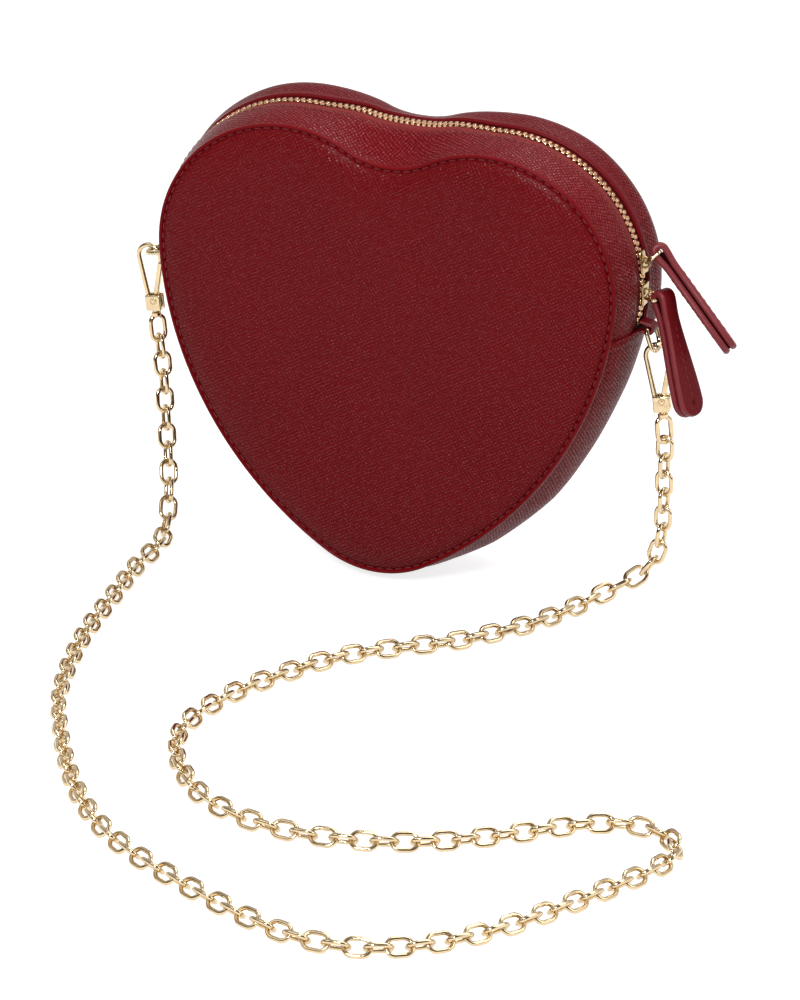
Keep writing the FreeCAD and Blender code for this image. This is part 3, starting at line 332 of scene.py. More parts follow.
def leather(name, low, high, depth, roughness, shine):
    """Crosshatch embossed leather, glossy on the tops of its ridges and smooth where it is plain; its colour
    is darker in the relief's valleys, painted shade in the grooves.
    """
    material, tree, surface = shader(name)
    grain = grain_place(tree)
    plain = add(tree, "Attribute", attribute_name="plain").outputs["Fac"]
    relief = reckon(tree, "MULTIPLY", crosshatch(tree, grain), reckon(tree, "SUBTRACT", 1.0, plain))
    pores = speckle(tree, grain, scale=2200.0, detail=3.0)
    height = reckon(tree, "ADD", relief, reckon(tree, "MULTIPLY", pores, PORE_HEIGHT))
    # The colour follows the relief: darker in the valleys, painted shade in the grooves; plain parts take a
    # low share, painted shade on the rims
    share = reckon(tree, "ADD", relief, reckon(tree, "MULTIPLY", plain, PLAIN_SHADE_TONE))
    clouds = speckle(tree, grain, scale=22.0, detail=4.0)
    surface.inputs["Specular IOR Level"].default_value = sum(shine) / 2
    feed(tree, surface, {
        "Base Color": varied(tree, mixed(tree, share, low, high), clouds, (0.88, 1.12)),
        "Normal": embossed(tree, height, 1.0, depth),
        "Roughness": spread(tree, pores, new=(roughness - 0.06, roughness + 0.06)),
        "Specular IOR Level": spread(tree, share, old=(0.35, 0.9), new=shine)})
    return material


def edge_paint(name, colour, shine):
    """Smooth paint on a cut leather edge, a little uneven."""
    material, tree, surface = shader(name)
    blots = speckle(tree, object_place(tree), scale=500.0, detail=3.0)
    feed(tree, surface, {
        "Base Color": toned(tree, blots, colour, 0.8),
        "Normal": embossed(tree, blots, 0.5, 0.15),
        "Roughness": 0.38,
        "Specular IOR Level": shine})
    return material


def thread(name, colour):
    """Twisted sewing thread; the grain's first coordinate runs along each stitch."""
    material, tree, surface = shader(name)
    split = add(tree, "SeparateXYZ", {0: grain_place(tree)})
    ply = wave(tree, reckon(tree, "ADD", split.outputs[0], split.outputs[1]), PLY_PITCH)
    feed(tree, surface, {
        "Base Color": toned(tree, spread(tree, ply, old=(-1.0, 1.0)), colour, 0.7),
        "Normal": embossed(tree, ply, 1.0, 0.05),
        "Roughness": 0.5})
    return material


def woven(name, low, high, pitch, sheen):
    """Plain woven cloth: warp and weft cross over and under each other."""
    material, tree, surface = shader(name)
    grain = grain_place(tree)
    split = add(tree, "SeparateXYZ", {0: grain})
    warp, weft = [wave(tree, split.outputs[axis], 2 * pitch) for axis in (0, 1)]
    cross = reckon(tree, "MULTIPLY", warp, weft)
    hue = mixed(tree, spread(tree, cross, old=(-1.0, 1.0)), low, high)
    fuzz = speckle(tree, grain, scale=900.0, detail=3.0)
    feed(tree, surface, {
        "Base Color": varied(tree, hue, fuzz, (0.8, 1.15)),
        "Normal": embossed(tree, cross, 0.8, 0.12 * pitch),
        "Roughness": 0.8,
        "Sheen Weight": sheen})
    return material


def metal(name, colour, roughness, wear):
    """Plated metal with fine scratches and slight unevenness."""
    material, tree, surface = shader(name)
    place = object_place(tree)
    clouds = speckle(tree, place, scale=260.0, detail=4.0)
    stretched = add(tree, "Mapping", {"Vector": place, "Scale": (900.0, 3500.0, 900.0)}).outputs[0]
    scratches = speckle(tree, stretched, scale=1.0, detail=2.0)
    feed(tree, surface, {
        "Base Color": toned(tree, clouds, colour, 0.88),
        "Normal": embossed(tree, clouds, 0.35, 0.05),
        "Roughness": spread(tree, scratches, old=(0.3, 0.75), new=(roughness - wear, roughness + wear)),
        "Metallic": 1.0})
    return material


def fibre_board(name, low, high):
    """Pressed fibre board, flecked and matt."""
    material, tree, surface = shader(name)
    flecks = speckle(tree, object_place(tree), scale=700.0, detail=5.0)
    feed(tree, surface, {
        "Base Color": mixed(tree, flecks, low, high),
        "Normal": embossed(tree, flecks, 0.6, 0.1),
        "Roughness": 0.85})
    return material


# Copies of one saffiano leather. Besides shine and relief, their tones were set zone by zone to the light
# each zone gets: lighter on the top strips and the lower gusset, darker on the rear strip, which paints light
# and shade into the colour
SAFFIANO = leather("burgundy_saffiano", (97, 7, 13), (125, 17, 23), 0.36, 0.25, (0.06, 0.29))
STRIP_LEATHER = leather("burgundy_saffiano_top", (92, 6, 12), (134, 28, 34), 0.3, 0.27, (0.06, 0.44))
REAR_LEATHER = leather("burgundy_saffiano_rear", (86, 6, 12), (122, 22, 28), 0.3, 0.3, (0.08, 0.34))
SIDE_LEATHER = leather("burgundy_saffiano_side", (98, 7, 13), (140, 24, 30), 0.3, 0.32, (0.01, 0.155))
TAB_LEATHER = leather("burgundy_tab_leather", (94, 9, 16), (104, 13, 20), 0.05, 0.36, (0.12, 0.18))
EDGE_PAINT = edge_paint("red_edge_paint", (128, 40, 46), 0.3)
THREAD = thread("burgundy_thread", (128, 26, 32))
# Near black, for the tab's core and its stitch holes: painted shade in the gap between the tab's layers and
# in the holes
PAINTED_SHADE_DARK = edge_paint("painted_shade", (38, 8, 10), 0.0)
TAPE_CLOTH = woven("red_zip_tape", (98, 7, 10), (128, 17, 18), 0.45, 0.0)
LINING_CLOTH = woven("dark_lining_cloth", (38, 28, 26), (58, 44, 40), 0.4, 0.2)
GOLD = metal("pale_gold_plate", (230, 206, 166), 0.17, 0.06)
# A darker, rougher copy of the gold for the sliders, which sit in shade: the darker colour is painted shade
SHADED_GOLD = metal("shaded_gold_plate", (204, 172, 124), 0.24, 0.07)
TEETH_GOLD = metal("rose_gold_plate", (228, 184, 144), 0.2, 0.07)
STEEL = metal("spring_steel_plain", (120, 116, 110), 0.35, 0.08)
BOARD = fibre_board("grey_fibre_board", (122, 116, 106), (160, 152, 140))


# Meshes

def put(name, data):
    """A new object in the scene."""
    item = bpy.data.objects.new(name, data)
    bpy.context.scene.collection.objects.link(item)
    return item


class Build:
    """Gathers one piece's points, faces, grain coordinates and plainness, in millimetres."""

    def __init__(self):
        self.points, self.grain, self.plain = [], [], []
        self.faces, self.slots = [], []

    def add(self, points, faces, grain=None, plain=0.0, slot=0, matrix=None):
        """Add points and faces; a matrix moves the points, but not their grain."""
        points = np.asarray(points, float).reshape(-1, 3)
        if grain is None:
            grain = points[:, [0, 2]]
        if matrix is not None:
            points = moved(matrix, points)
        base = len(self.points)
        self.points.extend(points.tolist())
        self.grain.extend(np.asarray(grain, float).reshape(-1, 2).tolist())
        self.plain.extend(np.broadcast_to(np.ravel(plain), len(points)).tolist())
        self.faces.extend([[base + index for index in face] for face in faces])
        self.slots.extend([slot] * len(faces) if np.isscalar(slot) else slot)

    def add_shell(self, shell, matrix):
        """Take over a bmesh's points and faces, and free it."""
        shell.verts.index_update()
        self.add([tuple(vertex.co) for vertex in shell.verts],
                 [[vertex.index for vertex in face.verts] for face in shell.faces], matrix=matrix)
        shell.free()

    def piece(self, name, materials, body, slot, stands_for=(), sharp=45):
        """Make the object, with smooth faces that break where they meet at more than an angle."""
        mesh = bpy.data.meshes.new(name)
        mesh.from_pydata((np.array(self.points) * MM).tolist(), [], self.faces)
        corners = np.empty(len(mesh.loops), int)
        mesh.loops.foreach_get("vertex_index", corners)
        layer = mesh.uv_layers.new(name="grain")
        layer.uv.foreach_set("vector", (np.array(self.grain) * MM)[corners].astype(np.float32).ravel())
        plain = mesh.attributes.new("plain", "FLOAT", "POINT")
        plain.data.foreach_set("value", np.array(self.plain, np.float32))
        mesh.polygons.foreach_set("material_index", self.slots)
        mesh.polygons.foreach_set("use_smooth", [True] * len(mesh.polygons))
        shell = bmesh.new()
        shell.from_mesh(mesh)
        bmesh.ops.recalc_face_normals(shell, faces=shell.faces)
        shell.to_mesh(mesh)
        shell.free()
        mesh.set_sharp_from_angle(angle=math.radians(sharp))
        for material in materials:
            mesh.materials.append(material)
        item = put(name, mesh)
        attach(item, body)
        if stands_for:
            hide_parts(*stands_for)
        return item


def moved(matrix, points):
    """Points carried by a matrix."""
    full = np.array(matrix)
    return points @ full[:3, :3].T + full[:3, 3]


def ring_faces(rings, sides, closed=False):
    """Four-sided faces round rings of points that are listed ring by ring."""
    faces = []
    for ring in range(rings if closed else rings - 1):
        here, after = ring * sides, (ring + 1) % rings * sides
        for side in range(sides):
            beside = (side + 1) % sides
            faces.append((here + side, here + beside, after + beside, after + side))
    return faces


def capped_faces(rings, sides):
    """Faces round rings of points with a cap on each end."""
    caps = [tuple(range(sides)), tuple(range((rings - 1) * sides, rings * sides))]
    return ring_faces(rings, sides) + caps


def full_turn(sides):
    """Angles all round, for so many sides."""
    return np.linspace(0, 2 * math.pi, sides, endpoint=False)


def walk(points):
    """The distance along a line to each of its points."""
    return np.concatenate([[0], np.cumsum(np.linalg.norm(np.diff(points, axis=0), axis=1))])


def frame_of(origin, x_axis, y_axis, z_axis):
    """A matrix from an origin and three axes."""
    columns = [Vector(x_axis), Vector(y_axis), Vector(z_axis)]
    return Matrix([(*[axis[row] for axis in columns], origin[row]) for row in range(3)] + [(0, 0, 0, 1)])


def hinge(name):
    """A joint's place in millimetres and its axis."""
    row = joints[name]
    return Vector(row["pos_m"]) / MM, Vector(row["axis"]).normalized()


def tube(build, path, radius, closed=False, sides=12, matrix=None, flat=1.0):
    """Round wire along points; flat squeezes its section across the second axis."""
    path = np.asarray(path, float)
    count = len(path)
    ahead = np.roll(path, -1, 0) - np.roll(path, 1, 0)
    if not closed:
        ahead[0], ahead[-1] = path[1] - path[0], path[-1] - path[-2]
    ahead /= np.linalg.norm(ahead, axis=1)[:, None]
    radius = np.broadcast_to(radius, count)
    helper = np.array([0.0, 1.0, 0.0]) if abs(ahead[0][1]) < 0.9 else np.array([1.0, 0.0, 0.0])
    turn = full_turn(sides)
    rings = []
    for point, along, size in zip(path, ahead, radius):
        helper = helper - along * (helper @ along)
        helper /= np.linalg.norm(helper)
        side = np.cross(along, helper)
        rings.append(point + size * (np.outer(np.cos(turn), side) + flat * np.outer(np.sin(turn), helper)))
    faces = ring_faces(count, sides, closed=True) if closed else capped_faces(count, sides)
    build.add(np.array(rings), faces, matrix=matrix)


def rounded_box(build, low, high, bevel, matrix=None):
    """A box between two corners with rounded edges."""
    shell = bmesh.new()
    bmesh.ops.create_cube(shell, size=1.0)
    low, high = np.array(low, float), np.array(high, float)
    for vertex in shell.verts:
        vertex.co = Vector((low + high) / 2 + np.array(vertex.co) * (high - low))
    bmesh.ops.bevel(shell, geom=shell.edges[:], offset=bevel, segments=3, profile=0.5, affect="EDGES")
    build.add_shell(shell, matrix)


def lathe(build, profile, sides, matrix):
    """A turned shape from radius and height pairs about Z."""
    rings = [[(radius * math.cos(a), radius * math.sin(a), height) for a in full_turn(sides)]
             for radius, height in profile]
    build.add(np.array(rings), capped_faces(len(profile), sides), matrix=matrix)


def arc_points(centre, radius, start, end, count):
    """Points on an arc in a plane, from one angle to another in degrees."""
    angles = np.radians(np.linspace(start, end, count))
    return np.stack([centre[0] + radius * np.cos(angles), centre[1] + radius * np.sin(angles)], 1)


def in_xz(points, y=0.0):
    """Plane points as points of the XZ plane, or off it by one distance or by a list of them."""
    points = np.asarray(points, float)
    return np.stack([points[:, 0], np.broadcast_to(y, len(points)), points[:, 1]], 1)


# Heart outline

class Trace:
    """Points, outward normals and distances along a run of arcs in the XZ plane."""

    def __init__(self, arcs, step, closed=False):
        points, normals, distance = [], [], []
        walked = 0.0
        for number, (centre, radius, start, end) in enumerate(arcs):
            run = radius * math.radians(abs(end - start))
            count = max(2, math.ceil(run / step))
            last = number == len(arcs) - 1 and not closed
            for part in range(count + last):
                angle = math.radians(start + (end - start) * part / count)
                ray = np.array([math.cos(angle), math.sin(angle)])
                points.append(centre + radius * ray)
                normals.append(-ray if end < start else ray)
                distance.append(walked + run * part / count)
            walked += run
        self.points, self.normals = np.array(points), np.array(normals)
        self.distance, self.length = np.array(distance), walked

    def at(self, wanted):
        """Points and normals at distances along the run."""
        find = [np.interp(wanted, self.distance, column) for column in (*self.points.T, *self.normals.T)]
        normals = np.stack(find[2:], 1)
        return np.stack(find[:2], 1), normals / np.linalg.norm(normals, axis=1)[:, None]

    def inside(self, inset):
        """The run's points drawn in by an inset."""
        return self.points - self.normals * inset

    def swept(self, profile_y, profile_out):
        """The grid of points of a section swept along the run; its offsets may differ along it."""
        count = len(self.points)
        out = np.broadcast_to(profile_out, (count, len(profile_y)))
        x = self.points[:, :1] + self.normals[:, :1] * out
        z = self.points[:, 1:] + self.normals[:, 1:] * out
        return np.stack([x, np.broadcast_to(profile_y, x.shape), z], 2)


def heading(vector):
    """The direction of a plane vector in degrees."""
    return math.degrees(math.atan2(vector[1], vector[0]))


def outline_arcs():
    """The upper run from the right seam over the notch to the left one, and the lower run round the tip."""
    lobe = np.array([HEART_WIDTH / 2 - LOBE_RADIUS, LOBE_HEIGHT])
    above = math.sqrt((LOBE_RADIUS + NOTCH_RADIUS) ** 2 - lobe[0] ** 2)
    notch = np.array([0.0, LOBE_HEIGHT + above])
    tip = np.array([0.0, TIP_RADIUS + GUSSET_CROWN])
    span = tip - lobe
    length = np.linalg.norm(span)
    to_lobe, to_tip = SIDE_RADIUS - LOBE_RADIUS, SIDE_RADIUS - TIP_RADIUS
    along = (to_lobe ** 2 - to_tip ** 2 + length ** 2) / (2 * length)
    across = math.sqrt(to_lobe ** 2 - along ** 2)
    unit = span / length
    side = lobe + unit * along - np.array([-unit[1], unit[0]]) * across
    notch_turn, lobe_turn, tip_turn = heading(notch - lobe), heading(lobe - side), heading(tip - side)
    seam_height = side[1] + SIDE_RADIUS * math.sin(math.radians(lobe_turn)) - ZIP_END_DROP
    seam_turn = math.degrees(math.asin((seam_height - side[1]) / SIDE_RADIUS))
    flip = np.array([-1.0, 1.0])
    upper = [(side, SIDE_RADIUS, seam_turn, lobe_turn),
             (lobe, LOBE_RADIUS, lobe_turn, notch_turn),
             (notch, NOTCH_RADIUS, notch_turn - 180, -notch_turn),
             (lobe * flip, LOBE_RADIUS, 180 - notch_turn, 180 - lobe_turn),
             (side * flip, SIDE_RADIUS, 180 - lobe_turn, 180 - seam_turn)]
    lower = [(side * flip, SIDE_RADIUS, 180 - seam_turn, 180 - tip_turn),
             (tip, TIP_RADIUS, 180 - tip_turn, 360 + tip_turn),
             (side, SIDE_RADIUS, tip_turn, seam_turn)]
    return upper, lower, lobe, side, seam_height


UPPER_ARCS, LOWER_ARCS, LOBE, SIDE, SEAM_HEIGHT = outline_arcs()
upper_run = Trace(UPPER_ARCS, OUTLINE_STEP)
lower_run = Trace(LOWER_ARCS, OUTLINE_STEP)
whole_run = Trace(UPPER_ARCS + LOWER_ARCS, OUTLINE_STEP, closed=True)
HALF_SPAN = BAG_DEPTH / 2 - PANEL_THICKNESS
CROWN_RISE = GUSSET_CROWN + SEAM_INSET
CROWN_RADIUS = (HALF_SPAN ** 2 + CROWN_RISE ** 2) / (2 * CROWN_RISE)
STRIP_EDGE = HALF_SPAN - PANEL_GAP
FRONT_LIMIT = ZIP_MIDDLE - ZIP_GAP / 2
REAR_LIMIT = ZIP_MIDDLE + ZIP_GAP / 2
UNDER_WALL = GUSSET_WALL + LAYER_GAP
TAPE_FRONT = ZIP_MIDDLE - TAPE_REACH
TAPE_REAR = ZIP_MIDDLE + TAPE_REACH
TAPE_MIDDLE = GUSSET_CROWN - GUSSET_WALL - LAYER_GAP - TAPE_THICKNESS / 2


def crown(y):
    """How far the gusset's outside stands off the heart's outline."""
    return GUSSET_CROWN - CROWN_RADIUS + np.sqrt(CROWN_RADIUS ** 2 - np.asarray(y, float) ** 2)


def rise(x, y):
    """How far the zipper holds the top up above the outline, most at the middle of the notch."""
    across = np.asarray(y, float) - ZIP_MIDDLE
    room = HALF_SPAN + np.copysign(ZIP_MIDDLE, across)
    along = np.minimum(np.abs(x) / NOTCH_RISE_REACH, 1.0)
    return NOTCH_RISE * (np.cos(math.pi / 2 * along) * np.cos(math.pi / 2 * across / room)) ** 2


def zip_frames(places, out):
    """Frames along the zipper's middle line at a height over the outline: X outwards, Y across, Z onwards."""
    def line(distances):
        spots, normals = upper_run.at(distances)
        spots = spots + normals * out
        return np.stack([spots[:, 0], spots[:, 1] + rise(spots[:, 0], ZIP_MIDDLE)], 1)

    ahead = line(places + TOOTH_PITCH) - line(places - TOOTH_PITCH)
    ahead /= np.linalg.norm(ahead, axis=1)[:, None]
    return [frame_of((spot[0], ZIP_MIDDLE, spot[1]), (way[1], 0, -way[0]), (0, 1, 0), (way[0], 0, way[1]))
            for spot, way in zip(line(places), ahead)]


def ripple(points, reach, height):
    """A slow unevenness of leather at points."""
    return np.array([height * noise.noise(Vector(point) / reach) for point in points])


# Front and back panels with their stitched rims

GROOVE_HEIGHT = 0.95
RIM = [(1.9, 0.12), (0.8, 0.15), (0.2, 0.3), (0.0, 0.7), (0.0, 1.15), (0.06, 1.5), (0.2, 1.8), (0.42, 2.03),
       (0.7, 2.16), (0.95, 2.16), (1.2, 2.02), (1.4, 1.78), (1.58, 1.45), (1.74, 1.1), (1.9, GROOVE_HEIGHT)]
SWELL_INSETS = [2.0, 2.15, 2.35, 2.6, 2.9, 3.3, 3.8, 4.4, 5.2, 6.2, 7.5, 9.2, 11.5]
FILL_STEP = 3.2
FILL_ROW_STEP = FILL_STEP * 0.87
FILL_CLEARANCE = 1.2
WELD = 1e-5


def puff(inset):
    """The panel's height inside the stitch groove: a round shoulder and a slow swell."""
    past = np.maximum(np.asarray(inset, float) - STITCH_INSET, 0.0)
    slow = np.minimum(past / PUFF_WIDE_REACH, 1.0)
    shoulder = SHOULDER_RISE * (1 - np.exp(-past / SHOULDER_REACH))
    near = PUFF_NEAR * (1 - np.exp(-past / PUFF_REACH))
    return GROOVE_HEIGHT + shoulder + near + PUFF_WIDE * (1 - (1 - slow) ** 2)


def fill_points(ring, inset):
    """Grid points well inside a closed ring of the outline, with their distances from the outline."""
    low, high = ring.min(0), ring.max(0)
    columns = np.arange(low[0], high[0], FILL_STEP)
    rows = np.arange(low[1], high[1], FILL_ROW_STEP)
    spots = np.array([(x + (number % 2) * FILL_STEP / 2, z)
                      for number, z in enumerate(rows) for x in columns])
    apart = np.linalg.norm(spots[:, None] - whole_run.points[None, ::2], axis=2)
    nearest = apart.argmin(1)
    inward = ((whole_run.points[::2][nearest] - spots) * whole_run.normals[::2][nearest]).sum(1)
    distance = apart.min(1)
    keep = (inward > 0) & (distance > inset + FILL_CLEARANCE)
    return spots[keep], distance[keep]


def filled(ring, inset):
    """Points inside a ring, their distances from the outline, and triangles over ring and points."""
    spots, distance = fill_points(ring, inset)
    count = len(ring)
    flat = [Vector(spot) for spot in ring] + [Vector(spot) for spot in spots]
    edges = [(index, (index + 1) % count) for index in range(count)]
    found = delaunay_2d_cdt(flat, edges, [], 1, WELD)
    origin = [sources[0] for sources in found[3]]
    return spots, distance, [[origin[corner] for corner in face] for face in found[2]]


def heart_panel(name, side, stitches_name, drawn_in):
    """A padded panel: rounded rim, stitch groove and swelling middle, facing -Y (-1) or +Y (+1)."""
    insets = np.array([inset for inset, _ in RIM] + SWELL_INSETS)
    heights = np.array([height for _, height in RIM] + puff(SWELL_INSETS).tolist())
    rings = [in_xz(whole_run.inside(inset + drawn_in), height) for inset, height in zip(insets, heights)]
    count = len(whole_run.points)
    spots, distance, triangles = filled(rings[-1][:, [0, 2]], SWELL_INSETS[-1] + drawn_in)
    points = np.concatenate(rings + [in_xz(spots, puff(distance - drawn_in))])
    soft = np.repeat(np.clip((insets - STITCH_INSET) / PANEL_RIPPLE_FADE, 0, 1), count)
    soft = np.concatenate([soft, np.ones(len(spots))])
    apart = points * (1, 0, 1) + (0, side * PANEL_RIPPLE_SHIFT, 0)
    points[:, 1] += soft * ripple(apart, PANEL_RIPPLE_REACH, PANEL_RIPPLE)
    points[:, 1] = side * (HALF_SPAN + points[:, 1])
    first_inner = (len(rings) - 1) * count
    faces = ring_faces(len(rings), count)
    faces += [[first_inner + corner for corner in face] for face in triangles]
    faces.append(tuple(range(count)))
    smooth = np.repeat(np.clip((STITCH_INSET + RIM_FADE - insets) / RIM_FADE, 0, 1), count)
    build = Build()
    build.add(points, faces, plain=np.concatenate([smooth, np.zeros(len(spots))]))
    panel = build.piece(name + "_leather", [SAFFIANO], "bag", "burgundy_leather", [name])
    ring = whole_run.inside(STITCH_INSET + drawn_in)
    line = in_xz(np.concatenate([ring, ring[:1]]), side * (HALF_SPAN + GROOVE_HEIGHT + THREAD_LIFT))
    sew(stitches_name, [(line, (0, side, 0))], STITCH_PITCH, STITCH_LENGTH, "bag")


# Stitches

def stitch_shape(length, thick):
    """The rings of points of one stitch along X that dips at both ends."""
    turn = full_turn(STITCH_SIDES)
    rings = []
    for place in np.linspace(-1, 1, STITCH_RINGS):
        lift = thick * (1.2 * (1 - place ** 4) - 0.9 * place ** 8)
        fat = thick * math.sqrt(max(0.12, 1 - place ** 8))
        rings.append([(place * length / 2, fat * math.cos(a), lift + 0.8 * fat * math.sin(a)) for a in turn])
    return np.array(rings)


def sew(name, lines, pitch, length, body, thick=THREAD_RADIUS):
    """Stitches along lines on a surface, with its outward direction for a whole line or point by point."""
    build = Build()
    shape = stitch_shape(length, thick)
    rows, columns = shape.shape[:2]
    faces = capped_faces(rows, columns)
    grain = np.stack([shape[:, :, 0].ravel(), np.tile(np.arange(columns) * 0.3, rows)], 1)
    for line, outward in lines:
        outward = np.broadcast_to(outward, line.shape)
        walked = walk(line)
        count = max(1, int(walked[-1] / pitch))
        step = walked[-1] / count
        for number in range(count):
            middle = (number + 0.5) * step
            ends = np.array([middle - length / 2, middle, middle + length / 2])
            spots = np.stack([np.interp(ends, walked, line[:, axis]) for axis in range(3)], 1)
            up = Vector([np.interp(middle, walked, outward[:, axis]) for axis in range(3)]).normalized()
            along = Vector(spots[2] - spots[0]).normalized()
            across = up.cross(along).normalized()
            matrix = frame_of(spots[1], along, across, along.cross(across))
            build.add(shape, faces, grain=grain, matrix=matrix)
    build.piece(name, [THREAD], body, "burgundy_leather")


# Gusset, zipper strips, tapes and linings: sections swept along the outline

def sweep_band(name, run, section, material, slot, stands_for, change=None, plain=0.0, uneven=0.0):
    """A closed section of Y and offset pairs along a run; change gives more offset by distance and Y."""
    section = np.array(section, float)
    points = run.swept(section[:, 0], section[:, 1])
    count, width = len(run.points), len(section)
    lift = np.zeros((count, width))
    if change is not None:
        lift += change(run.distance[:, None], section[:, 0])
    lift += ripple(points.reshape(-1, 3), STRIP_RIPPLE_REACH, uneven).reshape(count, width)
    points[:, :, 0] += lift * run.normals[:, :1]
    points[:, :, 2] += lift * run.normals[:, 1:]
    if run is upper_run:
        points[:, :, 2] += rise(points[:, :, 0], points[:, :, 1])
    grain = np.stack(np.broadcast_arrays(run.distance[:, None], walk(section)[None, :]), 2)
    plain = np.tile(np.broadcast_to(plain, width), count)
    build = Build()
    build.add(points, capped_faces(count, width), grain=grain, plain=plain)
    return build.piece(name, [material], "bag", slot, [stands_for])


def wall_section(low, high, depth, wall, count):
    """The section of a strip of even wall under the crowned outside."""
    y = np.linspace(low, high, count)
    top = np.stack([y, crown(y) - depth], 1)
    return np.concatenate([top, top[::-1] - (0, wall)])


def strip_section(low, high, zip_end, roll, thinned, swell):
    """A zipper strip's section, rolled or thinned at its zipper edge and swollen, and its plainness."""
    y = np.linspace(low, high, 26)
    edge = low if zip_end == "low" else high
    inward = 1 if zip_end == "low" else -1
    depth = np.abs(y - edge)
    lift = roll * np.sin(np.clip(depth / ROLL_WIDTH, 0, 1) * math.pi)
    lift -= thinned * (1 - np.clip(depth / THINNING_WIDTH, 0, 1)) ** 2
    lift += swell * np.sin(depth / (high - low) * math.pi) ** 2
    keep = depth > STRIP_NOSE
    top = np.stack([y, crown(y) + lift], 1)[keep]
    plain = np.clip((ROLL_WIDTH + ROLL_FADE - depth) / ROLL_FADE, 0, 1)[keep] * (roll > 0)
    half = (GUSSET_WALL - thinned) / 2
    middle = crown(edge) - thinned - half
    nose = [(edge + inward * STRIP_NOSE * (1 - math.sin(a)), middle + (half + roll * NOSE_ROLL) * math.cos(a))
            for a in np.radians([15, 40, 65, 90])]
    under = [(edge + inward * 0.25, middle - 0.6 * half), (edge + inward * STRIP_NOSE, middle - half)]
    bottom = np.stack([y, crown(y) - GUSSET_WALL], 1)[keep][::-1]
    tail = np.ones(len(nose) + len(under))
    if zip_end == "low":
        section = np.concatenate([top, bottom, under[::-1], nose[::-1]])
        plain = np.concatenate([plain, np.zeros(len(bottom)), tail])
    else:
        section = np.concatenate([top, nose, under, bottom])
        plain = np.concatenate([plain, tail, np.zeros(len(bottom))])
    return section, plain


def lower_fullness(distance, y):
    """The lower gusset's bulge beside the tip, and its folded ends over the ends of the zipper strips."""
    to_end = np.minimum(distance, lower_run.length - distance)
    bulge = np.interp(to_end, BULGE_PLACES, BULGE_HEIGHTS) * np.cos(math.pi / 2 * y / HALF_SPAN) ** 2
    return bulge + LIP_RISE * np.clip((LIP_LENGTH - to_end) / LIP_SLOPE, 0, 1)


def leather_strips():
    """The lower gusset and the strips in front of the zipper and behind it."""
    section = wall_section(-STRIP_EDGE, STRIP_EDGE, 0.0, GUSSET_WALL, 40)
    sweep_band("lower_gusset_leather", lower_run, section, SIDE_LEATHER, "burgundy_leather", "lower_gusset",
               change=lower_fullness, uneven=0.25)
    section, plain = strip_section(-STRIP_EDGE, FRONT_LIMIT - FRONT_SHOWN, "high", 0.0, STRIP_THINNED, 0.0)
    sweep_band("front_zip_strip", upper_run, section, STRIP_LEATHER, "burgundy_leather", "zip_strip_front",
               plain=plain, uneven=0.2)
    section, plain = strip_section(REAR_LIMIT, STRIP_EDGE, "low", ROLL_RISE, 0.0, REAR_SWELL)
    sweep_band("rear_zip_strip", upper_run, section, REAR_LEATHER, "burgundy_leather", "zip_strip_rear",
               plain=plain, uneven=0.2)


def tapes():
    """The zipper's two tapes; the front one rises where it comes out from under its strip."""
    teeth_front, teeth_rear = ZIP_MIDDLE - TEETH_WIDTH / 2, ZIP_MIDDLE + TEETH_WIDTH / 2
    section = wall_section(TAPE_FRONT, teeth_front + TAPE_BITE, UNDER_WALL, TAPE_THICKNESS, 20)
    section[:, 1] += TAPE_LIFT * np.clip((section[:, 0] - FRONT_LIMIT + TAPE_SLOPE) / TAPE_SLOPE, 0, 1)
    sweep_band("front_tape_cloth", upper_run, section, TAPE_CLOTH, "zip_tape", "zipper_tape_front")
    section = wall_section(teeth_rear - TAPE_BITE, TAPE_REAR, UNDER_WALL, TAPE_THICKNESS, 20)
    sweep_band("rear_tape_cloth", upper_run, section, TAPE_CLOTH, "zip_tape", "zipper_tape_rear")


def strip_linings():
    """The cloths under the lower gusset and under both strips."""
    end = HALF_SPAN - STRIP_LINING_INSET
    linings = [("lower_lining_cloth", lower_run, -end, end, "lower_gusset_lining"),
               ("front_strip_lining_cloth", upper_run, -end, TAPE_FRONT - CLOTH_GAP, "strip_lining_front"),
               ("rear_strip_lining_cloth", upper_run, TAPE_REAR + CLOTH_GAP, end, "strip_lining_rear")]
    for name, run, low, high, stands_for in linings:
        section = wall_section(low, high, UNDER_WALL + CLOTH_GAP, LINING_THICKNESS - 2 * CLOTH_GAP, 14)
        cloth = sweep_band(name, run, section, LINING_CLOTH, "lining_cloth", stands_for, uneven=0.04)


def strip_stitches():
    """A row of stitches beside the zipper on each strip."""
    swollen = REAR_SWELL * math.sin(STRIP_STITCH_INSET / (STRIP_EDGE - REAR_LIMIT) * math.pi) ** 2
    rows = [("front_strip_stitches", FRONT_LIMIT - FRONT_SHOWN - STRIP_STITCH_INSET, -0.25),
            ("rear_strip_stitches", REAR_LIMIT + STRIP_STITCH_INSET, swollen - 0.15)]
    for name, line_y, lift in rows:
        spots = upper_run.inside(-(crown(line_y) + lift))
        spots[:, 1] += rise(spots[:, 0], line_y)
        lines = [(in_xz(spots, line_y), in_xz(upper_run.normals))]
        sew(name, lines, STRIP_STITCH_PITCH, STRIP_STITCH_LENGTH, "bag", STRIP_THREAD_RADIUS)


